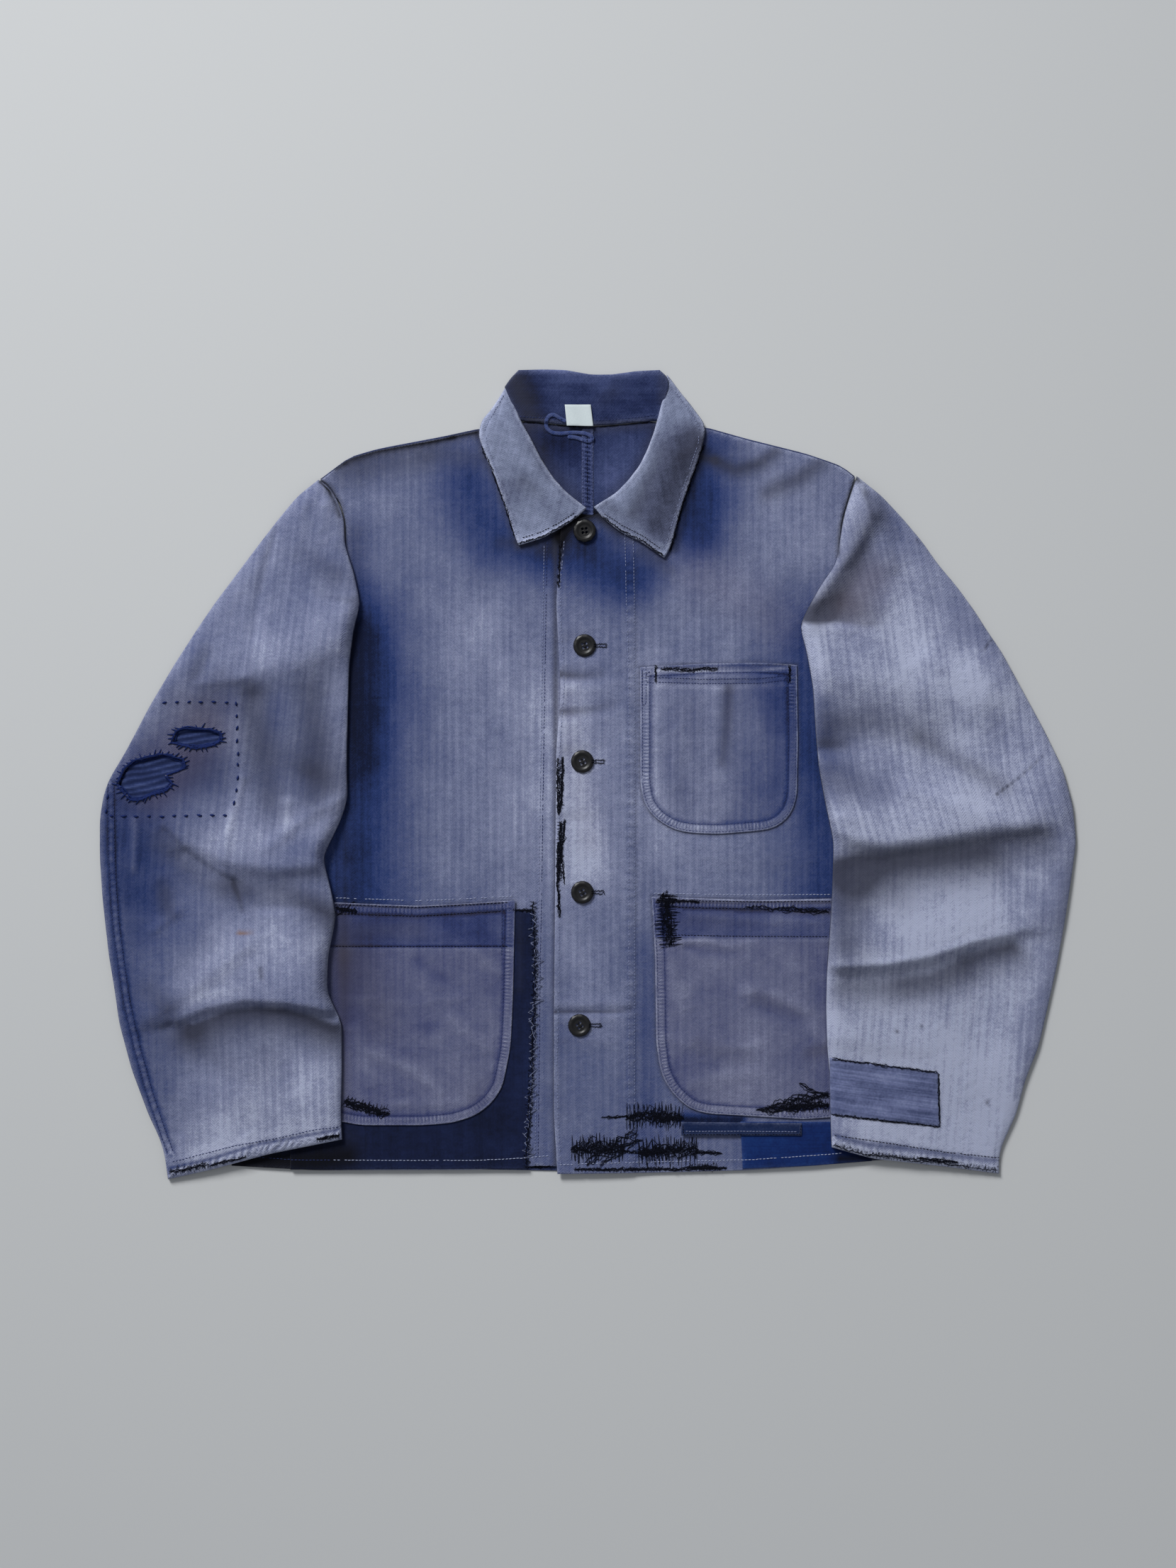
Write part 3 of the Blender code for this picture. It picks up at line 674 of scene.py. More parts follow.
def feed(tree: bpy.types.NodeTree, node: bpy.types.Node, inputs: dict[str | int, object]) -> None:
    """Gives a node's inputs their numbers and colours, or the outputs that feed them."""
    for key, value in inputs.items():
        if isinstance(value, Socket):
            tree.links.new(value, node.inputs[key])
        else:
            node.inputs[key].default_value = value


def add(
    tree: bpy.types.NodeTree, kind: str, inputs: dict[str | int, object] | None = None, **settings: object
) -> bpy.types.Node:
    """Adds a node to a tree.

    Args:
        tree: The tree.
        kind: The node's type, after ShaderNode.
        inputs: Its inputs, each a number, a colour or the output that feeds it.
        settings: Its properties.

    Returns:
        The node.
    """
    node = tree.nodes.new(f"ShaderNode{kind}")
    for name, value in settings.items():
        setattr(node, name, value)
    feed(tree, node, inputs or {})
    return node


def total(
    tree: bpy.types.NodeTree, start: Socket | float, parts: Sequence[tuple[Socket, float | Socket]]
) -> Socket:
    """Returns a start value plus each part times its amount."""
    for part, amount in parts:
        inputs = {0: part, 1: amount, 2: start}
        start = add(tree, "Math", inputs, operation="MULTIPLY_ADD").outputs[0]
    return start


@dataclass(frozen=True)
class Finish:
    """A material that is made once, however often it is asked for."""

    name: str

    def make(self) -> bpy.types.Material:
        """Returns the material."""
        made = bpy.data.materials.get(self.name)
        if made is None:
            made = bpy.data.materials.new(self.name)
            made.use_nodes = True
            self.paint(made.node_tree, made.node_tree.nodes["Principled BSDF"])
        return made

    def paint(self, tree: bpy.types.NodeTree, shader: bpy.types.Node) -> None:
        """Adds the material's nodes. Each kind of finish has its own."""


class Weave(Enum):
    """How a cloth is woven."""

    HERRINGBONE = "herringbone"
    PLAIN = "plain"


PLAIN_PITCH = 1.3  # the threads of plain cloth are 0.5 apart, drawn coarser so that they show


@dataclass(frozen=True)
class Cotton(Finish):
    """A washed and worn indigo cotton.

    The mesh says how faded, how worn and how soiled each place is, and which way the warp runs. The fade
    and soil values also carry painted light and shade, and the shade value painted deep shade. Sizes are
    in mm. The streaks are warp threads that have kept or lost their dye.
    """

    tones: tuple[str, ...]  # from unfaded to bleached
    worn: str  # where an edge has lost its dye
    grime: str = "#2f3140"  # what soil and handling leave in the folds; also the colour of painted shade in folds, under edges and beside sewn-on parts
    rust: str = "#7b5c42"  # the brown of old stains
    deep: str = "#030307"  # the shade under an edge that the light doesn't reach
    weave: Weave = Weave.HERRINGBONE
    column: float = 7.3  # one pair of herringbone columns
    rib: float = 2.2  # the twill's ribs are 0.9 apart, drawn coarser so that they show
    streak: float = 0.095
    band: float = 0.05
    blotch: float = 0.14
    mottle: float = 0.1
    fleck: float = 0.15
    stripe: float = 0.036
    calm: float = 0.0  # how much evener the cloth is where it hasn't faded
    relief: float = 0.25  # the depth of the weave
    crumple: float = 0.5  # the height of the small creases that a wash leaves
    roughness: float = 0.88
    sheen: float = 0.05
    specular: float = 0.12

    def paint(self, tree: bpy.types.NodeTree, shader: bpy.types.Node) -> None:
        """Adds the dye with its unevenness, then wear, soil with painted shade, stains and painted deep shade, and the
        weave's relief.
        """
        grain = add(tree, "Attribute", attribute_name="grain").outputs["Vector"]
        fade, wear, soil, rust, shade = (
            add(tree, "Attribute", attribute_name=name).outputs["Fac"]
            for name in ("fade", "wear", "soil", "rust", "shade")
        )
        noises = []
        for across, along, detail in ((2.1, 70, 2), (8, 170, 1), (34, 46, 3), (9, 6.5, 2), (1.7, 2.0, 2)):
            size = {0: grain, 1: (1 / across, 1 / along, 0)}
            place = add(tree, "VectorMath", size, operation="MULTIPLY").outputs[0]
            look = {"Vector": place, "Scale": 1.0, "Detail": detail, "Roughness": 0.6}
            noises.append(add(tree, "TexNoise", look, noise_dimensions="2D").outputs["Fac"])
        streaks, _, _, mottles, flecks = noises
        rib, column = self.ribs(tree, grain)
        uneven = 0.0
        amounts = (self.streak, self.band, self.blotch, self.mottle, self.fleck)
        for part, amount in zip(noises, amounts, strict=True):
            centred = add(tree, "Math", {0: part, 1: 0.5}, operation="SUBTRACT").outputs[0]
            uneven = total(tree, uneven, [(centred, 2 * amount)])
        uneven = total(tree, uneven, [(column, self.stripe), (rib, 0.03)])
        share = total(tree, 1 - self.calm, [(fade, self.calm)])
        dye = add(tree, "ValToRGB", {"Fac": total(tree, fade, [(uneven, share)])})
        stops = dye.color_ramp.elements
        for k, code in enumerate(self.tones):
            share = k / (len(self.tones) - 1)
            stop = stops[k] if k < 2 else stops.new(share)
            stop.position, stop.color = share, linear(code)
        ragged = {0: flecks, 1: 0.3, 2: 0.62, 3: 0.35, 4: 1.0}
        ragged = add(tree, "MapRange", ragged, interpolation_type="SMOOTHSTEP").outputs[0]
        lost = add(tree, "Math", {0: wear, 1: ragged}, operation="MULTIPLY", use_clamp=True).outputs[0]
        colour = dye.outputs["Color"]
        for share, code in ((lost, self.worn), (soil, self.grime), (rust, self.rust), (shade, self.deep)):
            mixed = {0: share, 6: colour, 7: linear(code)}
            colour = add(tree, "Mix", mixed, data_type="RGBA").outputs[2]
        height = total(tree, streaks, [(rib, 0.35), (column, 0.12), (flecks, 0.8)])
        creases = {"Strength": 1.0, "Distance": self.crumple * MM, "Height": mottles}
        weave = {"Strength": 0.8, "Distance": self.relief * MM, "Height": height}
        weave["Normal"] = add(tree, "Bump", creases).outputs[0]
        feed(
            tree, shader,
            {
                "Base Color": colour, "Normal": add(tree, "Bump", weave).outputs[0],
                "Roughness": self.roughness, "Specular IOR Level": self.specular,
                "Sheen Weight": self.sheen, "Sheen Roughness": 0.5
            }
        )

    def ribs(self, tree: bpy.types.NodeTree, grain: Socket) -> list[Socket]:
        """Draws the weave.

        Args:
            tree: The material's tree.
            grain: Where the place is across and along the warp, in mm.

        Returns:
            The height of the ribs and the light and dark of the columns, both between -1 and 1.
        """
        across, along, _ = add(tree, "SeparateXYZ", {0: grain}).outputs
        waved = ((across, PLAIN_PITCH), (along, PLAIN_PITCH))
        if self.weave is Weave.HERRINGBONE:
            lean = add(tree, "Math", {0: across, 1: 0.5 * self.column}, operation="PINGPONG").outputs[0]
            slant = add(tree, "Math", {0: lean, 1: along}, operation="ADD").outputs[0]
            waved = ((slant, self.rib), (across, self.column))
        waves = []
        for value, pitch in waved:
            scaled = add(tree, "Math", {0: value, 1: TURN / pitch}, operation="MULTIPLY").outputs[0]
            waves.append(add(tree, "Math", {0: scaled}, operation="SINE").outputs[0])
        if self.weave is Weave.PLAIN:
            waves[0] = add(tree, "Math", {0: waves[0], 1: waves[1]}, operation="MULTIPLY").outputs[0]
        return waves


@dataclass(frozen=True)
class Plain(Finish):
    """A plain small finish: sewing thread, button or tape."""

    colour: str
    other: str  # the colour that it drifts to
    roughness: float
    size: float = 2.0  # of the drift, in mm
    relief: float = 0.05
    sheen: float = 0.0
    specular: float = 0.5

    def paint(self, tree: bpy.types.NodeTree, shader: bpy.types.Node) -> None:
        """Adds a colour and a surface that drift a little."""
        place = add(tree, "TexCoord").outputs["Object"]
        size = {"Vector": place, "Scale": 1 / (self.size * MM), "Detail": 3.0}
        drift = add(tree, "TexNoise", size).outputs["Fac"]
        tones = {0: drift, 6: linear(self.colour), 7: linear(self.other)}
        colour = add(tree, "Mix", tones, data_type="RGBA").outputs[2]
        uneven = {"Strength": 0.5, "Distance": self.relief * MM, "Height": drift}
        feed(
            tree, shader,
            {
                "Base Color": colour, "Normal": add(tree, "Bump", uneven).outputs[0],
                "Roughness": self.roughness, "Sheen Weight": self.sheen, "Specular IOR Level": self.specular
            }
        )


@dataclass(frozen=True)
class Wardrobe:
    """All finishes of the jacket."""

    # Cotton herringbone twill dyed blue and washed pale: matt, streaked along the warp, lavender where
    # the sun and the wash have had it and deep blue where the collar and sleeves lay over it. Its darkest
    # tones also stand for painted shade beside the sleeves and under the collar.
    faded: Cotton = Cotton(
        "washed_cotton_herringbone", ("#0b1532", "#223363", "#434d74", "#5f6685", "#7c829e", "#a2a8c0"),
        "#a0a6be", calm=0.5
    )
    # The same cloth seen from its back, which has kept more dye.
    inner: Cotton = Cotton(
        "cotton_herringbone_inside", ("#0b1129", "#1b2549", "#333d63", "#49527a", "#606990", "#7a82a2"),
        "#737b9c", calm=0.3, streak=0.08, stripe=0.02
    )
    # The collar's twill, rubbed and washed greyer than the body.
    collar: Cotton = Cotton(
        "rubbed_collar_herringbone", ("#1b1f30", "#363b50", "#545a74", "#707891", "#8a92ae", "#aab2d0"),
        "#b4bad2", streak=0.06, stripe=0.012, fleck=0.12
    )
    # Closely woven navy cotton, hardly faded: dark and matt with a faint weave.
    navy: Cotton = Cotton(
        "navy_plain_cotton", ("#0a1128", "#121b3a", "#1a2549", "#26325a", "#3c4872"), "#465280",
        weave=Weave.PLAIN, streak=0.12, band=0.08, mottle=0.16, stripe=0.0
    )
    # Bright blue cotton from another jacket.
    bright: Cotton = Cotton(
        "bright_blue_plain_cotton", ("#08193f", "#0c2257", "#133069", "#1f3f7a", "#385390"), "#4a6298",
        weave=Weave.PLAIN, streak=0.14, band=0.08, mottle=0.16, stripe=0.0
    )
    # Grey-blue slubby cotton with its warp laid across.
    slate: Cotton = Cotton(
        "slate_slub_cotton", ("#0c1d42", "#1b2a4e", "#333d5f", "#4c5477", "#656d92", "#7d85a8"), "#8088a4",
        weave=Weave.PLAIN, streak=0.24, band=0.14, mottle=0.12, stripe=0.0
    )
    tape: Plain = Plain("woven_cotton_tape", "#b3bfc4", "#cbd4d5", 0.85, size=0.8)
    pale_thread: Plain = Plain("washed_sewing_thread", "#858dab", "#a6adc6", 0.85, specular=0.2)
    grey_thread: Plain = Plain("greyed_sewing_thread", "#6a7294", "#868eac", 0.85, specular=0.2)
    blue_thread: Plain = Plain("blue_sewing_thread", "#1e2850", "#3a4470", 0.85, specular=0.15)
    navy_thread: Plain = Plain("thick_navy_thread", "#0d1842", "#1c2c60", 0.85, specular=0.12)
    dark_thread: Plain = Plain("black_mending_thread", "#030409", "#0a0d1c", 0.85, specular=0.1)
    button: Plain = Plain(
        "moulded_black_button", "#070709", "#131316", 0.42, size=3.0, relief=0.03, specular=0.4
    )


# ---------------------------------------------------------------- one layer of cloth


@dataclass
class Layer:
    """One piece of cloth with its look, in mm."""

    name: str
    slot: str
    finish: Finish
    shell: Shell
    fade: Field
    soil: Field
    rests_on: tuple[str, ...]
    warp: float = 0.0  # how far the grain leans from +Y, in degrees
    wear: float = 0.6
    wear_reach: float = 1.4
    grain: Field | None = None
    rust: Field = strokes()
    shade: Field = strokes()
    with_pieces: tuple[Piece, ...] = ()
    stands_for: str | None = None  # the CAD node, where it hasn't the piece's own name

    def make(self) -> Piece:
        """Returns the piece, dressed and declared."""
        mesh = self.shell.skin().mesh(self.name)
        self.dress(mesh)
        made = put(self.name, mesh, self.finish, self.slot)
        node = self.name if self.stands_for is None else self.stands_for
        if node:
            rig.replaces(made, node)
        loop = self.shell.loops[0]
        width, length = np.ptp(loop, axis=0) * MM
        area = sum(area_of(part) for part in self.shell.loops) * MM * MM
        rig.sheet(
            made, (float(width), float(length)), "laid", self.rests_on, area=float(abs(area)),
            with_pieces=self.with_pieces
        )
        return made

    def dress(self, mesh: bpy.types.Mesh) -> None:
        """Writes how faded, worn and soiled each point is, with its painted light and shade, and where it is on the
        weave.
        """
        at = np.empty(len(mesh.vertices) * 3, np.float32)
        mesh.vertices.foreach_get("co", at)
        at = at.reshape(-1, 3)[:, :2].astype(float) / MM
        lean = math.radians(self.warp)
        axes = ((math.cos(lean), math.sin(lean)), (-math.sin(lean), math.cos(lean)))
        grain = self.grain(at) if self.grain else np.column_stack([at @ axis for axis in axes])
        uneven = 0.75 + 0.5 * Drift(91, 6, 6).at(at)
        wear = self.wear * uneven * np.exp(-self.shell.distance(at) / self.wear_reach)
        values = {
            "grain": np.column_stack([grain, np.zeros(len(at))]), "fade": np.clip(self.fade(at), 0, 1),
            "wear": np.clip(wear, 0, 1), "soil": np.clip(self.soil(at), 0, 0.92),
            "rust": np.clip(self.rust(at), 0, 1), "shade": np.clip(self.shade(at), 0, 0.97)
        }
        write(mesh, values)


def write(mesh: bpy.types.Mesh, values: dict[str, Array]) -> None:
    """Writes a number or a place at each point of a mesh, under the names that the finishes read."""
    for name, value in values.items():
        vector = value.ndim == 2
        made = mesh.attributes.new(name, "FLOAT_VECTOR" if vector else "FLOAT", "POINT")
        made.data.foreach_set("vector" if vector else "value", value.astype(np.float32).ravel())


def level(value: float) -> Field:
    """Returns the same value everywhere."""
    return lambda at: np.full(len(at), float(value))


# ---------------------------------------------------------------- thread


@dataclass
class Thread:
    """Lengths of sewing thread on the jacket, one mesh for one colour."""

    name: str
    finish: Finish
    slot: str
    land: Field
    skin: Skin = field(default_factory=Skin)
    hidden_by: list[Array] = field(default_factory=list)  # outlines that cover what is sewn now

    def strand(
        self, path: Array, thick: float, lift: Array | float = 0.0, flat: float = 1.0, sides: int = 4
    ) -> None:
        """Lays a length of thread on the cloth.

        Args:
            path: Its course, (n, 2).
            thick: Its width.
            lift: How far its underside is above the cloth at each point.
            flat: Its height as a share of its width.
            sides: The number of its sides.
        """
        path = np.asarray(path, float)
        if self.hidden_by:
            shows = ~np.any([inside([loop], path) for loop in self.hidden_by], axis=0)
            lift = np.broadcast_to(lift, len(path))
            turns = np.flatnonzero(np.diff(np.concatenate([[0], shows.astype(int), [0]])))
            for first, last in zip(turns[::2], turns[1::2], strict=True):
                if last - first > 1:
                    part = slice(first, last)
                    self.lay(path[part], thick, lift[part], flat, sides)
            return
        self.lay(path, thick, lift, flat, sides)

    def lay(self, path: Array, thick: float, lift: Array | float, flat: float, sides: int) -> None:
        """Adds one visible length of thread; the arguments are those of strand."""
        r = 0.5 * thick
        z = self.land(path) + r * flat * 0.6 + lift
        heading = np.empty_like(path)
        heading[1:-1] = path[2:] - path[:-2]
        heading[0], heading[-1] = path[1] - path[0], path[-1] - path[-2]
        side = normals(heading)
        taper = np.ones(len(path))
        taper[[0, -1]] = 0.45
        rings = []
        for turn in np.linspace(0, TURN, sides, endpoint=False):
            shift = side * (math.cos(turn) * r * taper)[:, None]
            rings.append(np.column_stack([path + shift, z + math.sin(turn) * r * flat * taper]))
        points = np.stack(rings, 1).reshape(-1, 3)
        k = np.arange(len(path) - 1)[:, None] * sides
        turn = np.arange(sides)
        a, b = k + turn, k + (turn + 1) % sides
        last = sides * (len(path) - 1)
        walls = np.stack([a, b, b + sides, a + sides], -1).reshape(-1, 4)
        self.skin.add(points, walls)
        first = self.skin.count - len(points)
        self.skin.faces.append(np.array([np.arange(sides)[::-1]]) + first)
        self.skin.faces.append(np.array([last + np.arange(sides)]) + first)

    def run(
        self, path: Array, pitch: float = 3.0, thick: float = 0.55, share: float = 0.78, sway: float = 0.12,
        seed: int = 1, gaps: float = 0.0
    ) -> None:
        """Sews a row of stitches.

        Args:
            path: The row's course.
            pitch: The distance from one stitch to the next.
            thick: The thread's diameter.
            share: The part of the pitch that shows as thread.
            sway: How far a stitch strays.
            seed: For the strays.
            gaps: The share of stitches that have worn away.
        """
        rng = np.random.default_rng(seed)
        points = spaced(path, pitch)
        for a, b in zip(points, points[1:], strict=False):
            stray = rng.normal(0, sway, (2, 2))
            if rng.random() < gaps:
                continue
            start, end = a + stray[0], a + (b - a) * share + stray[1]
            middle = 0.5 * (start + end)
            dip = -0.35 * thick
            self.strand(np.array([start, middle, end]), thick, np.array([dip, 0.12, dip]))

    def zigzag(
        self, path: Array, reach: float, pitch: float = 1.5, thick: float = 0.45, seed: int = 1,
        rough: float = 0.35
    ) -> None:
        """Sews one thread to and fro across a line.

        Args:
            path: The line.
            reach: How far the thread goes to each side.
            pitch: The distance between turns.
            thick: The thread's diameter.
            seed: For the unevenness.
            rough: The share of the reach by which each turn varies.
        """
        rng = np.random.default_rng(seed)
        points = spaced(path, pitch)
        if len(points) < 3:
            return
        sides = inset(points, 1.0) - points
        swing = np.where(np.arange(len(points)) % 2, 1.0, -1.0)
        swing = swing * reach * (1 + rng.normal(0, rough, len(points)))
        path = points + sides * swing[:, None] + rng.normal(0, 0.25 * pitch, points.shape)
        lift = np.abs(rng.normal(0.1, 0.12, len(points)))
        self.strand(path, thick, lift)

    def make(self) -> Piece:
        """Returns the piece with all its thread."""
        return put(self.name, self.skin.mesh(self.name), self.finish, self.slot)


class Land:
    """The upper surface of the dressed jacket, on which thread is laid."""

    def __init__(self) -> None:
        """Starts with nothing."""
        self.points: list[list[float]] = []
        self.faces: list[list[int]] = []
        self.tree: BVHTree | None = None

    def take(self, piece: Piece) -> None:
        """Adds a piece that lies uppermost somewhere."""
        first = len(self.points)
        self.points += [list(vert.co / MM) for vert in piece.data.vertices]
        self.faces += [[first + v for v in face.vertices] for face in piece.data.polygons]
        self.tree = None

    def __call__(self, at: Array) -> Array:
        """Returns the height of the surface at each place, or of the floor beside it."""
        if self.tree is None:
            self.tree = BVHTree.FromPolygons(self.points, self.faces)
        heights = np.zeros(len(at))
        for k, (x, y) in enumerate(at.tolist()):
            hit = self.tree.ray_cast((x, y, 200.0), (0, 0, -1))[0]
            if hit is not None:
                heights[k] = hit.z
        return heights


# ---------------------------------------------------------------- the jacket


@dataclass
class Body:
    """The two fronts and the two halves of the back, with what the fronts' cloth does."""

    frame: dict
    wardrobe: Wardrobe
    placket_edge: float = -28.0
    placket_end: float = 41.0
    placket_rise: float = 0.9  # its cloth is doubled
    creases: Strokes = strokes(
        ((-110, 180, -95, -100), 26, 26, 0.8, 0.5), ((-60, 150, -66, -60), 20, 20, 0.6, 0.5),
        ((60, 150, 150, 150), 22, 12, 0.9, 0.7), ((-180, 240, -140, 180), 26, 20, 0.8, 0.2),
        ((120, 230, 190, 180), 24, 18, 0.8, 0.4), ((110, -70, 190, -75), 16, 10, 0.7, 0.7),
        ((-205, 272, -208, 248), 7, 7, 1.2, 0.8),
        ((112, 284, 130, 275, 150, 280, 164, 292), 5, 5, 0.8, 0.6),
        ((160, 260, 186, 272, 204, 284), 5, 6, 0.8, 0.6), ((100, 290, 150, 262, 190, 255), 12, 12, 0.5, 0.4)
    )
    placket_creases: Strokes = strokes(
        ((-26, 87, -5, 85.5, 14, 87), 5, 4, -1.4, -0.6), ((-26, 76, 20, 75), 7, 7, 0.9, 0.4),
        ((-26, 97, 10, 97), 6, 5, 0.8, 0.3), ((-26, 54, 0, 56, 24, 61), 4, 5, -1.2, -0.5),
        ((-26, 43, 8, 44), 7, 7, 0.7, 0.2), ((-28, 20, 14, 22), 5, 4, -0.5, -0.3),
        ((-29, -40, 20, -38), 6, 6, -0.6, -0.2), ((-29, -209.5, 38, -207.5), 2.5, 2.5, -1.3, -1.0),
        ((-29, -202, 34, -201), 5, 5, 0.7, 0.5), ((-29, -216, 20, -215), 5, 5, 0.6, 0.4),
        ((-29, -238, 30, -240), 6, 5, 0.5, 0.3)
    )
    # How faded the fronts are, with painted shade beside the sleeves, under the collar's leaves and tips and under the
    # right cuff.
    fading: Strokes = strokes(
        ((-106, 256, -78, 205), 34, 36, -0.38, -0.44), ((104, 285, 92, 210), 30, 26, -0.46, -0.46),
        ((-22, 205, 32, 172), 30, 30, -0.5, -0.5), ((-40, 190, -34, 160), 14, 14, -0.16, -0.1),
        ((-206, 158, -206, -118), 50, 52, -0.5, -0.56), ((-206, 110, -206, 20), 34, 34, -0.26, -0.22),
        ((207, 120, 209, -110), 42, 42, -0.46, -0.42), ((160, 90, 165, 20), 34, 34, -0.16, -0.18),
        ((-20, 60, -8, -80), 26, 26, 0.16, 0.24), ((10, 30, 10, -80), 24, 24, 0.06, 0.12),
        ((-100, 130, -70, 60), 40, 60, 0.06, 0.08), ((-60, -20, -66, -60), 22, 30, 0.1, 0.08),
        ((-60, -180, -60, -330), 22, 22, -0.06, -0.06), ((50, -150, 48, -330), 14, 14, -0.14, -0.14),
        ((-220, 225, -190, 275), 22, 22, -0.06, -0.16), ((170, 240, 200, 200), 30, 30, 0.1, 0.08),
        ((-130, 292, -100, 290), 12, 12, -0.08, -0.08), ((60, 90, 60, -60), 20, 20, 0.08, 0.12),
        ((-186, 186, -176, 168), 16, 16, 0.06, 0.05), ((120, 118, 128, 104), 22, 20, 0.05, 0.05),
        ((60, 300, 72, 232), 26, 26, -0.1, -0.12), ((118, 240, 112, 205), 18, 18, -0.17, -0.13),
        ((-330, -345, -250, -345), 24, 24, -0.6, -0.6), ((-184, 182, -178, 160), 22, 22, 0.2, 0.18),
        ((-95, 215, -100, 205), 16, 16, -0.04, -0.04), ((60, 180, 55, 165), 16, 16, -0.04, -0.04),
        ((-16, 226, 0, 206, 24, 212), 13, 15, -0.12, -0.12), ((46, 186, 74, 160), 24, 24, -0.07, -0.07),
        ((-4, -160, 0, -215), 26, 26, 0.1, 0.1), ((30, -190, 40, -250), 24, 24, 0.05, 0.05),
        ((86, -305, 134, -305), 7, 5, -0.6, -0.6)
    )
    # Mostly painted shade: along the right shoulder's seam, in the left shoulder's folds, beside the right sleeve,
    # under the collar's leaves and under the right cuff; with some soil.
    soiling: Strokes = strokes(
        ((-215, 268, -150, 280), 10, 16, 0.5, 0.45),
        ((-214, 274, -186, 283, -160, 288, -128, 294, -98, 300), 4, 4, 0.6, 0.6),
        ((-135, 284, -98, 278), 9, 12, 0.4, 0.3), ((-206, 212, -207, 150), 12, 12, 0.3, 0.22),
        ((-340, -345, -262, -343, -244, -348), 22, 22, 0.4, 0.4),
        ((-216, 190, -216, -110), 8, 8, 0.1, 0.15), ((112, 280, 190, 262), 14, 14, 0.24, 0.1),
        ((112, 276, 130, 267, 150, 273, 166, 285), 5, 7, 0.56, 0.5), ((98, 279, 112, 277), 4, 4, 0.5, 0.4),
        ((158, 248, 185, 260, 206, 275), 6, 9, 0.5, 0.52), ((-30, 205, 30, 200), 12, 18, 0.12, 0.12),
        ((-14, 230, -22, 206), 11, 11, 0.35, 0.25), ((8, 228, 28, 208), 9, 9, 0.3, 0.2),
        ((-76, 205, -40, 200), 5, 9, 0.4, 0.4), ((46, 196, 70, 182), 5, 9, 0.35, 0.35),
        ((-30, -175, -30, -300), 10, 10, 0.1, 0.12)
    )
    armhole: Line = (-235, 258.5, -230, 255, -226, 250.5, -221.8, 243.5, -218, 236.5, -216, 229, -215, 222)
    shade: Strokes = strokes(
        ((-4, 232, -16, 219, -28, 209), 5, 7, 0.95, 0.9), ((-1, 229, -6, 214), 9, 9, 0.8, 0.5),
        ((-22, 212, -23.5, 186), 4, 4, 0.95, 0.4), ((6, 232, 16, 222, 28, 214), 3, 5, 0.6, 0.4),
        ((105, 285, 95, 258, 86, 230, 77, 198), 4, 4, 0.5, 0.55), ((-206, 120, -204, 20), 9, 9, 0.35, 0.35),
        ((-335, -344, -290, -341, -245, -340, -212, -336), 14, 16, 0.97, 0.9),
        ((222, -338, 272, -339), 5, 6, 0.95, 0.7),
        ((-222, 269, -210, 277.3, -186.5, 284.3, -160, 289.1, -140, 292.4, -118, 297), 1.1, 2.2, 0.8, 1.0),
        ((-122, 296.2, -98, 301), 2.1, 1.8, 0.9, 0.9), (armhole, 1.5, 1.1, 1.0, 0.7),
        ((235, 260, 226, 234, 221, 212, 220, 192), 1.6, 1.6, 0.7, 0.6)
    )
    shoulder: Line = (
        -236, 258.5, -225, 267.5, -210, 278.5, -186, 285.3, -160, 290.3, -128, 296.2, -97, 303
    )
    # Painted shade in the placket's creases.
    placket_soiling: Strokes = strokes(
        ((-27, 88, -5, 86, 12, 87.5), 3, 4, 0.85, 0.2), ((-27, 55, 0, 56.5, 22, 61), 2.5, 5, 0.65, 0.15),
        ((-27, -37, 10, -36), 5, 6, 0.22, 0.05), ((-29, -209.7, 10, -209, 38, -207.5), 1.1, 1.5, 0.85, 0.5),
        ((-27, -234, 26, -237), 3, 4, 0.18, 0.1), ((-22, 120, 2, 124), 6, 5, 0.2, 0.1),
        ((-22, 20, 2, 22), 5, 6, 0.3, 0.1)
    )
    smears: Strokes = strokes(
        ((100, 172, 150, 150, 165, 130), 26, 22, 0.07, 0.05), ((-20, 70, 0, -60), 12, 12, 0.04, 0.06)
    )
    # Painted highlights beside the placket's creases.
    placket_fading: Strokes = strokes(
        ((-20, 76, 22, 76), 7, 7, 0.12, 0.06), ((-20, 98, 10, 98), 6, 6, 0.06, 0.0),
        ((-24, 44, 4, 45), 8, 8, 0.1, 0.0), ((-27, -216, 22, -215), 5, 5, 0.12, 0.06),
        ((-27, -203, 22, -202), 4, 4, 0.08, 0.04)
    )
    # How faded the inside of the back is, with painted shade under the collar and under the right cuff.
    inside_fade: Strokes = strokes(
        ((22, 256, 44, 285), 24, 24, 0.2, 0.14), ((-12, 246, -14, 260), 12, 12, 0.06, 0.1),
        ((-35, 292, -10, 295), 18, 18, -0.16, -0.16), ((-340, -338, -240, -346), 24, 24, -0.29, -0.29),
        base=0.26
    )
    # Painted shade on the inside of the back: along the neck seam, beside the leaves' inner edges and under the right
    # cuff.
    inside_soil: Strokes = strokes(
        ((-56, 308, 0, 304, 60, 308), 8, 5, 0.55, 0.45), ((-55, 300, -30, 262, -12, 244), 9, 9, 0.5, 0.4),
        ((60, 300, 42, 266, 18, 242), 6, 6, 0.5, 0.4), ((-340, -338, -240, -346), 22, 22, 0.4, 0.4)
    )

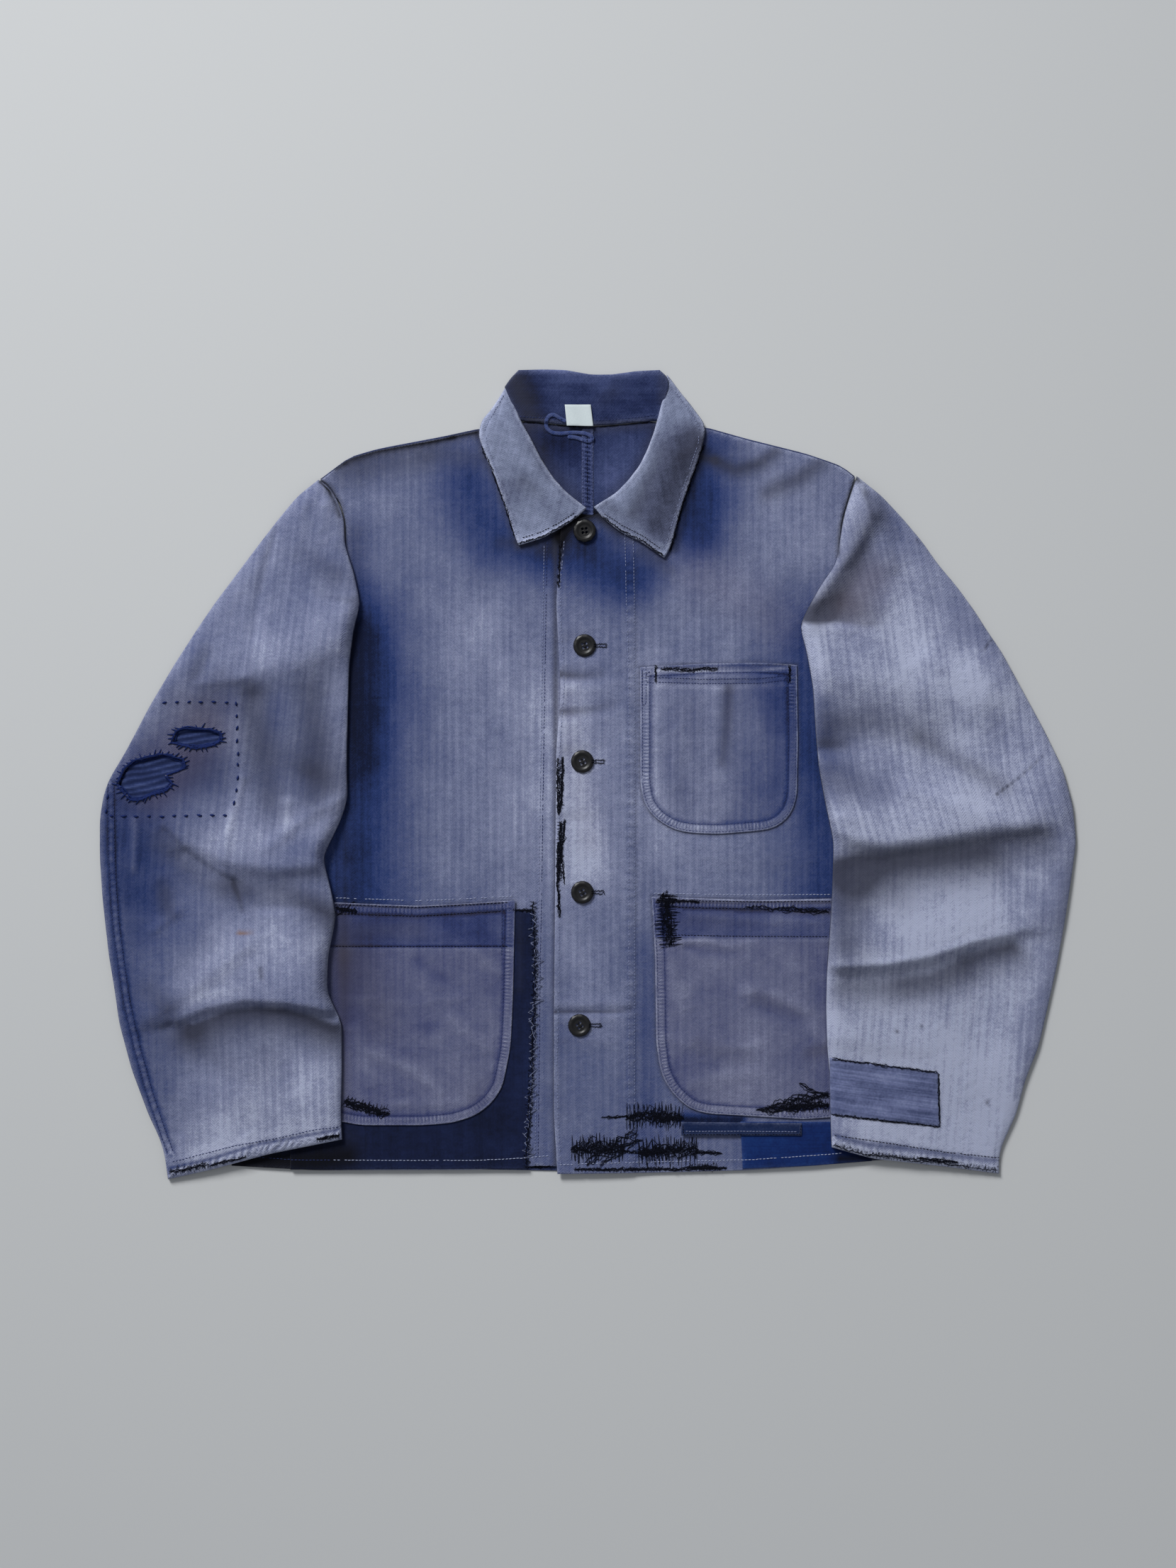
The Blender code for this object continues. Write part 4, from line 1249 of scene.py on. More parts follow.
    def relief(self, at: Array) -> Array:
        """Returns how far the fronts' cloth stands off where it would lie flat."""
        broad = 0.45 + 0.45 * Drift(3, 90, 140).at(at) + 0.25 * Drift(4, 34, 60).at(at)
        broad = broad + 0.14 * Drift(7, 15, 19).at(at)
        free = ramp(np.abs(at[:, 0] + 5), 0, 1)
        beside = ramp(self.from_sleeves(at), 2, 30)
        collar = np.maximum(ramp(np.abs(at[:, 0]), 104, 130), ramp(-at[:, 1], -205, -175))
        sewn = 0.5 * self.gathers(at)
        return (broad * free + self.creases(at) + sewn) * beside * collar

    def gathers(self, at: Array) -> Array:
        """Returns the small ridges below the right shoulder's seam, from -1 to 1."""
        away, along, _ = Path(course(self.shoulder)).nearest(at)
        beat = np.sin(along * TURN / 6.8 + 2.5 * Drift(27, 16, 16).at(at))
        return beat * bell(away, 9)

    def placket(self, at: Array) -> Array:
        """Returns how far the doubled edge of the left front stands up."""
        clear = ramp(-at[:, 1], -204, -180)
        band = ramp(self.placket_end - at[:, 0], 0, 2.5)
        rise = self.placket_rise * band + self.placket_creases(at) * band
        return (rise + 0.3 * self.pucker(at)) * clear

    def pucker(self, at: Array) -> Array:
        """Returns the small ridges between the two rows that close the placket, from -1 to 1."""
        beat = np.sin(at[:, 1] * TURN / 8.5 + 3 * Drift(22, 20, 26).at(at))
        return beat * bell(at[:, 0] - 37, 3.2) * ramp(-at[:, 1], -195, -180)

    def from_sleeves(self, at: Array) -> Array:
        """Returns how far each place is from the sleeves, and 0 beneath them."""
        nearest = np.full(len(at), 1e9)
        for loop, path in self.over:
            nearest = np.minimum(nearest, np.where(inside([loop], at), 0, path.nearest(at)[0]))
        return nearest

    def fade(self, at: Array) -> Array:
        """Returns how faded the body's cloth is, darker towards the hem, with painted shade beside the sleeves, under
        the collar and under the right cuff.
        """
        base = 0.66 - 0.12 * ramp(-at[:, 1], 60, 260)
        tone = base + self.fading(at) + 0.05 * Drift(8, 40, 90).at(at)
        return tone + 0.03 * Drift(19, 14, 20).at(at) + 0.05 * self.gathers(at)

    def soil(self, at: Array) -> Array:
        """Returns how soiled the body's cloth is, with painted shade in its folds, under the collar and the right
        cuff, and beside what is sewn on it.
        """
        beside = np.zeros(len(at))
        for path, reach, amount in self.edges:
            beside = np.maximum(beside, amount * bell(path.nearest(at)[0], reach))
        return self.soiling(at) + beside

    def left_fade(self, at: Array) -> Array:
        """Returns how faded the left front is, with painted highlights beside the placket's creases."""
        return self.fade(at) + self.placket_fading(at) + 0.09 * self.pucker(at)

    def left_soil(self, at: Array) -> Array:
        """Returns how soiled the left front is, with painted shade in the placket's creases."""
        seam = 0.3 * bell(at[:, 0] - 42.3, 0.9) * ramp(-at[:, 1], -200, -180)
        return self.soil(at) + self.placket_soiling(at) + seam

    def right_soil(self, at: Array) -> Array:
        """Returns how soiled the right front is, with painted shadow beside the left one's edge."""
        shade = 0.75 * bell(at[:, 0] - self.placket_edge + 0.6, 2.4)
        return self.soil(at) + shade

    def make(self) -> list[Piece]:
        """Returns the backs and fronts."""
        self.over, self.edges = [], []
        for name in ("sleeve_right_under", "sleeve_left_under"):
            loop = eased(Node(name, self.frame).loops()[0], 8, 6)
            self.over.append((loop, Path(loop, closed=True)))
        # The edges of the pockets and of the collar's leaves, each with the reach and depth of the painted shade
        # beside it.
        for name, amount in (("pocket_chest", 0.55), ("pocket_left", 0.55), ("pocket_right", 0.3)):
            loop = eased(Node(name, self.frame).loops()[0], 4, 4)
            self.edges.append((Path(loop, closed=True), 1.5, amount))
        for leaf in (Collar.leaf_right, Collar.leaf_left):
            self.edges.append((Path(np.array(leaf, float), closed=True), 4.0, 0.5))
        neck = np.stack(np.meshgrid(np.arange(-70, 71, 3.0), np.arange(226, 312, 3.0)), -1)
        made = []
        for name in ("back_right", "back_left"):
            loop = eased(Node(name, self.frame).loops()[0], 4, 4)
            shell = Shell(
                [loop], self.inside_top, level(0.0), pitch=9.0, coarse=20.0, extra=(neck.reshape(-1, 2),)
            )
            layer = Layer(
                name, "cloth_inside", self.wardrobe.inner, shell, self.inside_fade, self.inside_soil, (),
                wear=0.3, shade=self.shade
            )
            made.append(layer.make())
        seam, armhole = course(self.shoulder), course(self.armhole)
        rows = [spaced(inset(seam, -by), 1.4) for by in (0.9, 1.7, 2.5, 3.4, 4.6, 6.2)]
        rows += [spaced(inset(armhole, by), 1.4) for by in (-1.3, 0.0, 1.3)]
        for name, other, more, fade, soil in (
            ("front_right", "back_right", level(0.0), self.fade, self.right_soil),
            ("front_left", "front_right", self.placket, self.left_fade, self.left_soil)
        ):
            node = Node(name, self.frame)
            ground, bottom = node.faces()
            loop = eased(node.loops()[0], 3, 5)
            corner = ramp(-loop[:, 0], 218, 224) * ramp(loop[:, 1], 214, 220)
            loop[:, 0] -= 2.6 * corner * ramp(-loop[:, 1], -259, -254)  # tucked into the armhole

            def top(at: Array, ground: Field = ground, more: Field = more) -> Array:
                return ground(at) + self.relief(at) + more(at)

            layer = Layer(
                name, "faded_herringbone", self.wardrobe.faded,
                Shell([loop], top, bottom, pitch=2.8, extra=tuple(rows)), fade, soil, (other,), wear=0.6,
                rust=self.smears, shade=self.shade
            )
            made.append(layer.make())
        made.append(self.back_seam())
        return made

    def back_seam(self) -> Piece:
        """Returns the felled seam down the middle of the back, as it shows in the neck."""
        outline = np.array([(-5.5, 228.0), (5.0, 228.0), (4.9, 304.5), (-5.5, 304.5)])
        shell = Shell(
            [spaced(outline, 2.0, closed=True)],
            lambda at: 1.9 + 0.14 * np.sin(at[:, 1] * 1.9 + 0.4 * at[:, 0]), level(1.05), pitch=1.5,
            coarse=6.0, rim=0.5
        )
        layer = Layer(
            "back_seam", "cloth_inside", self.wardrobe.inner, shell, self.rungs, self.inside_soil,
            ("back_right", "back_left"), wear=0.5, wear_reach=0.8, stands_for=""
        )
        return layer.make()

    @staticmethod
    def rungs(at: Array) -> Array:
        """Returns how faded the back's seam is: pale ridges with dark rungs between them."""
        ridges = bell(np.abs(at[:, 0] + 0.3) - 3.6, 0.8)
        beat = np.sin(at[:, 1] * 1.7 + 0.4 * at[:, 0])
        return 0.3 + 0.34 * ridges + 0.26 * beat * (1 - ridges)

    @staticmethod
    def inside_top(at: Array) -> Array:
        """Returns the height of the back's inside, with its fall in the neck."""
        ridge = 0.5 * np.exp(-((np.abs(at[:, 0]) - 4.0) ** 2) / 1.5)
        ridge = ridge * ramp(-at[:, 1], -300, -285) * ramp(at[:, 1], 200, 240)
        drift = 0.15 + 0.15 * Drift(12, 18, 40).at(at)
        return CLOTH + (ridge + drift * ramp(at[:, 1], 200, 235) * ramp(-at[:, 1], -302, -292))


@dataclass
class Pocket:
    """One patch pocket on a front, in mm."""

    node: str
    top_edge: float
    band: float | None  # where the band along its mouth ends
    base: float
    fading: Strokes
    soiling: Strokes
    creases: Strokes
    rests_on: str
    rubbed: float = 0.08  # how far handling has turned its blue to grey
    seam: float = 8.3  # from its edge to the inner row of stitches
    beat: float = 3.2  # from one pucker to the next

    def make(self, body: Body) -> Piece:
        """Returns the pocket."""
        node = Node(self.node, body.frame)
        self.loop = eased(node.loops()[0], 3, 5)
        self.border = Path(self.loop, closed=True)
        top, bottom = node.faces()
        runs = [inset(self.loop, by, closed=True) for by in (1.9, 3.6, 5.2, 6.8, self.seam)]
        shell = Shell(
            [self.loop], lambda at: top(at) + body.relief(at) + self.pucker(at) + self.creases(at), bottom,
            extra=tuple(spaced(run, 1.25, closed=True) for run in runs)
        )
        layer = Layer(
            self.node, "faded_herringbone", body.wardrobe.faded, shell, self.fade, self.soiling,
            (self.rests_on,), wear=0.8, wear_reach=0.9, rust=self.greyed
        )
        return layer.make()

    def ladder(self, at: Array) -> tuple[Array, Array]:
        """Returns how far each place is from the edge, and the puckers between the rows."""
        away, along, _ = self.border.nearest(at)
        within = bell(away - 5.0, 2.5)
        beat = along * TURN / self.beat + 2.6 * Drift(21, 14, 14).at(at)
        strong = 0.6 + 0.6 * Drift(23, 26, 26).at(at)
        return away, within * np.sin(beat) * strong

    def pucker(self, at: Array) -> Array:
        """Returns the small ridges between the two rows of stitches, and the pocket's fullness."""
        away, ladder = self.ladder(at)
        full = 0.5 * ramp(away, 8, 40)
        row = bell(away - self.seam, 0.9) + bell(away - 1.9, 0.7)
        return 0.42 * ladder + full - 0.35 * row

    def fade(self, at: Array) -> Array:
        """Returns how faded the pocket is, with painted shading that follows its creases."""
        away, ladder = self.ladder(at)
        tone = self.base + self.fading(at) + 0.3 * ladder
        tone = tone + 0.07 * bell(away - 5.2, 2.4)
        tone = tone - 0.3 * bell(away - self.seam, 1.0)
        if self.band is not None:
            tone = tone - 0.15 * ramp(at[:, 1], self.band - 1, self.band + 1)
            tone = tone - 0.3 * bell(at[:, 1] - self.band, 0.9)
            tone = tone + 0.1 * bell(at[:, 1] - self.band + 2.4, 1.2)
        # painted shading: the tone rises and falls with the creases' relief
        tone = tone + 0.16 * self.creases(at) + 0.05 * Drift(32, 13, 11).at(at)
        return tone + 0.05 * Drift(31, 30, 60).at(at)

    def greyed(self, at: Array) -> Array:
        """Returns how much brown handling has left below the band."""
        below = 1.0 if self.band is None else 0.6 + 0.4 * ramp(self.band - at[:, 1], -1, 6)
        return self.rubbed * below * np.ones(len(at))


@dataclass
class Patches:
    """The mending patches on the fronts, in mm."""

    frame: dict
    wardrobe: Wardrobe
    shadows: Strokes = strokes(  # beside the pocket and under the sleeve
        ((-240, -310, -215, -325), 14, 14, 0.4, 0.2),
        ((-60, -124, -60, -190), 3, 3, 0.2, 0.2),
        ((-56, -120, -48, -120), 1.2, 1.2, 0.7, 0.7),
    )

    def make(self, body: Body) -> list[Piece]:
        """Returns the three patches by the hem."""
        made = []
        for name, finish, slot, base, warp, reach, on in (
            ("patch_front_navy", self.wardrobe.navy, "navy_patch", 0.2, 0.0, 5.2, "front_right"),
            ("patch_hem_blue", self.wardrobe.bright, "blue_patch", 0.3, 90.0, 2.6, "front_left"),
            ("patch_hem_slate", self.wardrobe.slate, "slate_patch", 0.04, 90.0, 0.0, "patch_hem_blue")
        ):
            node = Node(name, self.frame)
            top, bottom = node.faces()
            loop = eased(node.loops()[0], 3, 2)
            loop[:, 1] -= reach * ramp(-loop[:, 1], 332, 338)
            shell = Shell([loop], lambda at, top=top: top(at) + body.relief(at), bottom)
            layer = Layer(
                name, slot, finish, shell, lambda at, base=base: base + 0.08 * Drift(41, 24, 20).at(at),
                self.shadows, (on,), warp=warp, wear=0.35, shade=body.shade
            )
            made.append(layer.make())
        return made


@dataclass
class Sleeve:
    """One sleeve: its under side, its upper side with the folds, and its patch, in mm."""

    side: str
    frame: dict
    wardrobe: Wardrobe
    folds: Strokes
    fading: Strokes
    soiling: Strokes
    smears: Strokes
    shade: Strokes
    grain_line: Corners  # the warp down the middle of the sleeve
    cuff: Line
    seam: Line  # the sewn seam down its outer edge, where that shows
    base: float
    rests_on: tuple[str, ...]
    puff: float = 3.6
    puff_edge: float = 13.0
    hem: float = 9.5  # the width of the cuff's hem

    def make(self) -> list[Piece]:
        """Returns the under side, the upper side and the patch."""
        under, upper = f"sleeve_{self.side}_under", f"sleeve_{self.side}_upper"
        node = Node(under, self.frame)
        self.ground, bottom = node.faces()
        outline = node.loops()[0]
        self.loop = eased(outline, 3, 5, corner=60)
        self.border = Path(eased(outline, 6, 5, corner=60), closed=True)
        cuff = course(self.cuff)
        self.cuff_path, self.seam_path = Path(cuff), None
        rows = [inset(self.loop, 2.4, closed=True)]
        for by in (3.0, 5.0, 7.0, self.hem, 12.0):
            rows += [inset(cuff, by), inset(cuff, -by)]
        if self.seam:
            seam = inset(course(self.seam), 3.2)
            self.seam_path = Path(seam)
            rows += [inset(seam, by) for by in (-3.2, -1.6, 0.0, 1.6, 3.2)]
        lower = Layer(
            under, "cloth_inside", self.wardrobe.inner,
            Shell([self.loop], self.ground, bottom, pitch=9.0, coarse=20.0), level(0.4), level(0.0),
            self.rests_on, wear=0.2
        )
        made = [lower.make()]
        self.holes = [eased(hole, 1.2, 1.0) for hole in Node(upper, self.frame).loops()[1:]]
        shell = Shell(
            [self.loop, *self.holes], self.top, lambda at: self.top(at) - CLOTH, pitch=2.7, rim=1.0,
            extra=tuple(spaced(row, 1.7) for row in rows), twin=True
        )
        layer = Layer(
            upper, "faded_herringbone", self.wardrobe.faded, shell, self.fade, self.soiling, (under,),
            wear=0.55, wear_reach=1.6, grain=self.grain, rust=self.smears, shade=self.shade
        )
        return [*made, layer.make(), self.patch(upper)]

    def patch(self, upper: str) -> Piece:
        """Returns the sleeve's patch, which lies under the worn holes or on the cuff."""
        if self.holes:
            name, slot, by, warp, base = "patch_elbow", "blue_patch", -CLOTH - GAP, 80.0, 0.66
            loop = Node(name, self.frame).loops()[0]
        else:
            name, slot, by, warp, base = "patch_cuff", "slate_patch", CLOTH, 82.0, 0.72
            loop = course((212, -249, 262, -255.5, 307, -261.5, 309, -309.5, 262, -304, 213, -298.5))
        ridges = 0.45 if self.holes else 0.0
        finish = self.wardrobe.navy if self.holes else self.wardrobe.slate

        def lines(at: Array) -> Array:
            return np.sin((at[:, 1] - 0.22 * at[:, 0]) * 1.15 + 1.5 * Drift(51, 20, 9).at(at))

        def top(at: Array) -> Array:
            return self.top(at) + by + ridges * (lines(at) - 1)

        def fade(at: Array) -> Array:
            return base + 0.08 * Drift(52, 30, 8).at(at) + 0.5 * ridges * lines(at)

        shell = Shell(
            [eased(loop, 2.6, 1.0)], top, lambda at: top(at) - 0.9, pitch=1.6 if self.holes else 2.4,
            twin=True
        )
        return Layer(name, slot, finish, shell, fade, level(0.0), (upper,), warp=warp, wear=0.4).make()

    def sewn(self, at: Array) -> tuple[Array, Array]:
        """Returns the puckers of the cuff's hem and of the outer seam, and their sewn-in lines."""
        away, along, _ = self.cuff_path.nearest(at)
        beat = np.sin(along * TURN / 6.8 + 0.8 * away + 3 * Drift(24, 12, 12).at(at))
        ladder = 1.5 * beat * bell(away - 5.5, 3.8)
        line = bell(away - self.hem, 1.3)
        if self.seam_path:
            away, along, _ = self.seam_path.nearest(at)
            beat = np.sin(along * TURN / 7.2 + 3 * Drift(25, 12, 12).at(at))
            ladder = ladder + 0.5 * beat * bell(away, 2.4)
            line = line + bell(away - 2.8, 1.0)
        return ladder, line

    def top(self, at: Array) -> Array:
        """Returns the height of the sleeve's upper face."""
        away = self.border.nearest(at)[0]
        t = np.clip(away / self.puff_edge, 0, 1)
        rise = np.sqrt(1 - (1 - t) ** 2)
        broad = 0.5 * Drift(5, 60, 90).at(at) + 0.35 * Drift(6, 22, 50).at(at)
        broad = broad + 0.16 * Drift(10, 12, 14).at(at)
        folds = np.maximum(self.folds(at), -self.puff + 0.6)
        ladder, line = self.sewn(at)
        folds = folds + 0.55 * ladder - 0.6 * line
        return self.ground(at) + GAP + CLOTH + rise * (self.puff + broad * t + folds)

    def fade(self, at: Array) -> Array:
        """Returns how faded the sleeve is, with painted highlights on the lit faces of its folds and painted shade in
        its hollows.
        """
        ladder, line = self.sewn(at)
        tone = self.base + self.fading(at) + 0.05 * Drift(9, 30, 80).at(at)
        tone = tone + 0.05 * Drift(18, 13, 17).at(at)
        hem = 0.14 * ramp(self.hem - self.cuff_path.nearest(at)[0], 0, 3)
        return tone + 0.2 * ladder - 0.36 * line + hem

    def grain(self, at: Array) -> Array:
        """Returns where each place is across and along the sleeve's warp."""
        line = np.array(self.grain_line)
        middle = np.interp(-at[:, 1], -line[:, 1], line[:, 0])
        return np.column_stack([at[:, 0] - middle, at[:, 1]])


@dataclass
class Collar:
    """The collar: its two leaves on the chest and the stand and fall folded behind the neck, in mm."""

    frame: dict
    wardrobe: Wardrobe
    leaf_right: Corners = (
        (-1, 234), (-9, 240), (-19, 248), (-30, 260), (-41, 277), (-50, 295), (-59, 311), (-65, 326),
        (-70, 338), (-71.5, 343), (-78, 332), (-86, 320), (-93, 312), (-95.5, 304), (-96, 296), (-93, 288),
        (-89, 277), (-84, 266), (-78, 251), (-73, 236), (-68, 221), (-64, 208), (-61, 201), (-41, 207),
        (-24, 216), (-9, 226)
    )
    leaf_left: Corners = (
        (5, 235), (13, 225), (28, 213), (47, 204), (67, 190), (71, 196), (76, 211), (80, 228), (85, 243),
        (90, 258), (95, 271), (101, 290), (103.3, 301), (102, 309), (98, 315), (90, 326), (81, 337),
        (73, 348), (69.5, 352), (69, 342), (65, 330), (62, 316), (58, 301), (52, 285), (45, 271), (35, 258),
        (24, 247)
    )
    stand: Corners = (
        (-62, 311), (-39, 309.4), (-20, 307.4), (0, 306.6), (20, 307.4), (40, 309.4), (63, 311.4),
        (68, 326), (72, 343), (70, 350), (63, 356), (42, 355), (22, 352), (2, 352), (-20, 356),
        (-40, 356.5), (-61, 356), (-68, 349), (-73.5, 341), (-68, 326)
    )
    leaf_folds: Strokes = strokes(
        ((104, 292, 88, 282, 70, 276), 8, 12, 1.3, 0.7), ((98, 262, 80, 240), 9, 9, 0.7, 0.4),
        ((12, 243, 20, 236), 3, 3, 0.8, 0.6), ((-60, 300, -48, 262, -30, 238), 14, 14, 0.8, 0.5),
        ((-92, 300, -78, 262, -66, 225), 8, 8, 0.4, 0.6), ((-84, 275, -62, 262), 8, 8, -0.9, -0.5),
        ((-40, 232, -56, 214), 9, 9, 0.6, 0.5), ((60, 330, 70, 300), 7, 7, 0.5, 0.5)
    )
    back_folds: Strokes = strokes(
        ((24, 352, 12, 328), 6, 6, 0.9, 0.3), ((10, 350, -2, 332), 6, 6, -0.6, -0.2),
        ((-50, 352, -44, 320), 8, 8, -0.5, -0.2), ((52, 350, 50, 325), 7, 7, -0.5, -0.3),
        ((-25, 345, 5, 340), 10, 10, 0.3, 0.2), base=3.6, share=0.2, drift=Drift(15, 14, 20)
    )
    # How faded the leaves are, with painted shade on the left leaf, which leans away from the light.
    leaf_fade: Strokes = strokes(
        ((-62, 206, -50, 214), 16, 20, 0.2, 0.1), ((-80, 318, -74, 285), 20, 20, 0.1, 0.06),
        ((-72, 250, -58, 240), 16, 14, -0.08, -0.06), ((-52, 275, -30, 246), 6, 6, 0.06, 0.08),
        ((84, 290, 72, 250, 60, 215), 16, 20, -0.28, -0.34), ((70, 194, 45, 210), 7, 7, 0.16, 0.12),
        ((-56, 205, -38, 211, -14, 223), 3.5, 3.5, 0.3, 0.34), ((-92, 312, -74, 334), 6, 6, 0.12, 0.14),
        ((-95, 300, -90, 284, -80, 258), 3.5, 3.5, 0.2, 0.1),
        ((66, 335, 62, 310, 46, 268, 24, 244), 5, 5, 0.16, 0.16), base=0.56, share=0.06,
        drift=Drift(16, 12, 14)
    )
    # Painted shade on the left leaf and along the leaves' folds, with some soil.
    leaf_soil: Strokes = strokes(
        ((92, 296, 80, 262, 62, 222), 12, 12, 0.55, 0.3), ((66, 286, 52, 256, 40, 230), 7, 8, 0.3, 0.5),
        ((-56, 258, -46, 248), 6, 8, 0.34, 0.24), ((104, 296, 90, 284, 76, 278), 4, 8, 0.4, 0.2),
        ((-84, 268, -62, 258), 6, 12, 0.06, 0.06), ((-48, 285, -38, 262), 5, 5, 0.2, 0.1),
        ((96, 300, 100, 290), 7, 7, 0.2, 0.2), ((14, 238, 24, 230), 5, 5, 0.2, 0.2)
    )
    # How faded the inside of the collar is, with painted shade at its right end.
    back_fade: Strokes = strokes(
        ((-58, 350, -50, 318), 14, 14, -0.3, -0.22), ((48, 352, 56, 325), 10, 10, -0.06, -0.04),
        ((-20, 350, 20, 346), 9, 7, 0.16, 0.12), ((30, 352, 62, 354), 5, 5, 0.22, 0.18),
        ((-60, 355, -20, 356), 3, 3, 0.3, 0.3), ((-10, 316, 20, 316), 8, 8, -0.06, -0.04), base=0.28,
        share=0.06, drift=Drift(17, 22, 9)
    )
    # Mostly painted shade at both ends of the collar's inside and beside its crease, with a dark line along the neck
    # seam.
    back_soil: Strokes = strokes(
        ((-66, 346, -58, 330, -52, 312), 13, 13, 0.75, 0.6), ((66, 350, 66, 330), 5, 5, 0.4, 0.4),
        ((22, 336, 6, 324), 7, 7, 0.2, 0.1), ((-50, 311, 0, 308, 55, 311), 2.5, 2.5, 0.4, 0.4)
    )

    def make(self) -> list[Piece]:
        """Returns the three parts of the collar."""
        self.upper, self.lower = Node("collar", self.frame).faces()
        return [
            self.part("back", self.stand, self.wardrobe.inner, 90.0, (), self.back_top),
            self.part("leaf_right", self.leaf_right, self.wardrobe.collar, -14.0, ("front_right",)),
            self.part("leaf_left", self.leaf_left, self.wardrobe.collar, 10.0, ("front_left",))
        ]

    def part(
        self, name: str, outline: Corners, finish: Finish, warp: float, rests_on: tuple[str, ...],
        top: Field | None = None
    ) -> Piece:
        """Makes one part.

        Args:
            name: Its name, after that of the collar.
            outline: Its edge.
            finish: Its cloth.
            warp: The lean of its grain, in degrees.
            rests_on: What it lies on.
            top: The height of its upper face, if it isn't a leaf.

        Returns:
            The piece.
        """
        loop = eased(np.array(outline), 2.0, 2.5)
        border = Path(eased(loop, 5.0, 0.0), closed=True)
        shell = Shell(
            [loop], top or (lambda at: self.leaf_top(at, border)), level(0.0) if top else self.leaf_bottom,
            pitch=2.0, coarse=8.0, rim=2.2, rings=(0.08, 0.3, 0.6, 1.0)
        )
        light = self.back_fade if top else lambda at: self.leaf_fade(at) - self.sewn(at, border)
        layer = Layer(
            f"collar_{name}", "collar_herringbone", finish, shell, light,
            self.back_soil if top else self.leaf_soil, rests_on, warp=warp, wear=0.75, wear_reach=1.8,
            stands_for="collar"
        )
        return layer.make()

    @staticmethod
    def sewn(at: Array, border: Path) -> Array:
        """Returns the sewn-in line just inside a leaf's edge, as a loss of tone."""
        return 0.1 * bell(border.nearest(at)[0] - 4.2, 0.9)

    def leaf_top(self, at: Array, border: Path) -> Array:
        """Returns the height of a leaf's upper face."""
        away, along, _ = border.nearest(at)
        groove = 0.4 * bell(away - 4.2, 1.1)
        waves = 0.13 * np.sin(along * 0.9 + 2 * Drift(26, 12, 12).at(at))
        waves = waves * bell(away - 2, 2.5)
        height = np.maximum(self.upper(at), self.lower(at) + 1.5)
        return height + self.leaf_folds(at) + 0.35 * Drift(14, 16, 22).at(at) - groove + waves

    def leaf_bottom(self, at: Array) -> Array:
        """Returns the height of a leaf's lower face."""
        return np.minimum(self.lower(at), self.upper(at) - 1.5)

    def back_top(self, at: Array) -> Array:
        """Returns the height of the inside of the collar behind the neck."""
        seam = -0.35 * bell(at[:, 1] - 314.5 + 0.0009 * at[:, 0] ** 2, 1.0)
        return self.back_folds(at) + seam


@dataclass
class NeckTrim:
    """The bare woven label and the hanging loop, in mm."""

    frame: dict
    wardrobe: Wardrobe
    loop_line: Corners = (
        (-19, 310), (-24, 312.5), (-30, 316.5), (-34, 316), (-37, 311), (-37, 305), (-32, 300.5),
        (-24, 299.8), (-13, 301), (-4, 300.5), (3, 298), (5, 294.5), (1, 292.5), (-5, 294.5), (-11, 296.8),
        (-18, 297)
    )
    loop_half: float = 1.8

    def make(self, land: Land) -> list[Piece]:
        """Returns the label and the loop."""
        node = Node("label", self.frame)
        loop = eased(node.loops()[0], 1.6, 0.0)
        base = float(node.points[:, 2].min())
        shell = Shell(
            [loop], lambda at: base + 0.9 + 0.25 * np.sin(at[:, 0] * 0.35 + 0.1 * at[:, 1]), level(base),
            pitch=1.6, coarse=6.0, rim=0.4
        )
        tape = Thread("hanging_loop", self.wardrobe.faded, "faded_herringbone", land)
        tape.strand(
            self.smooth(np.array(self.loop_line, float)), 2 * self.loop_half, 0.2, flat=0.42, sides=10
        )
        made = tape.make()
        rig.replaces(made, "hanging_loop")
        at = np.array([vert.co for vert in made.data.vertices]) / MM
        write(made.data, {"grain": at, "fade": np.full(len(at), 0.34)})
        label = Layer(
            "label", "label_tape", self.wardrobe.tape, shell, level(0.6), level(0.0), ("collar",),
            with_pieces=(made,)
        )
        return [label.make(), made]

    @staticmethod
    def smooth(path: Array) -> Array:
        """Returns a rounded and finely spaced run."""
        path = spaced(path, 1.0)
        for _ in range(10):
            path[1:-1] = 0.25 * path[:-2] + 0.5 * path[1:-1] + 0.25 * path[2:]
        return path


@dataclass
class Buttons:
    """The five turned buttons, with where their thread goes, in mm."""

    frame: dict
    wardrobe: Wardrobe
    count: int = 5
    radius: float = 10.0
    height: float = 3.2
    dish: float = 5.8
    sunk: float = 1.1
    hole: float = 1.15
    hole_out: float = 2.4

    def make(self) -> list[Piece]:
        """Returns the buttons."""
        made, self.places = [], []
        turn = np.linspace(0, TURN, 64, endpoint=False)
        ring = np.column_stack([np.cos(turn), np.sin(turn)])
        for number in range(1, self.count + 1):
            name = f"button_{number}"
            node = Node(name, self.frame)
            low, high = node.points.min(0), node.points.max(0)
            centre, base = 0.5 * (low + high)[:2], float(low[2])
            corners = [math.radians(45 + 7 * number + 90 * k) for k in range(4)]
            spots = [centre + self.hole_out * np.array([math.cos(a), math.sin(a)]) for a in corners]
            shell = Shell(
                [centre + ring * self.radius, *(spot + ring[::5] * self.hole for spot in spots)],
                lambda at, c=centre, b=base: b + self.profile(np.hypot(*(at - c).T)), level(base),
                pitch=0.85, coarse=2.5, rim=1.1, rings=(0.1, 0.35, 0.7, 1.0), hole_pitch=0.5
            )
            shell.edge = shell.edge[:1]
            piece = put(name, shell.skin().mesh(name), self.wardrobe.button, "black_button")
            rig.replaces(piece, name)
            made.append(piece)
            self.places.append((centre, spots))
        return made

    def profile(self, out: Array) -> Array:
        """Returns the height of a button's face at a distance from its middle."""
        return (
            self.height - self.sunk * (
                1 - ramp(out, self.dish - 0.6, self.dish + 1.2)
            ) - 0.25 * ramp(out, 8.2, 9.6)
        )


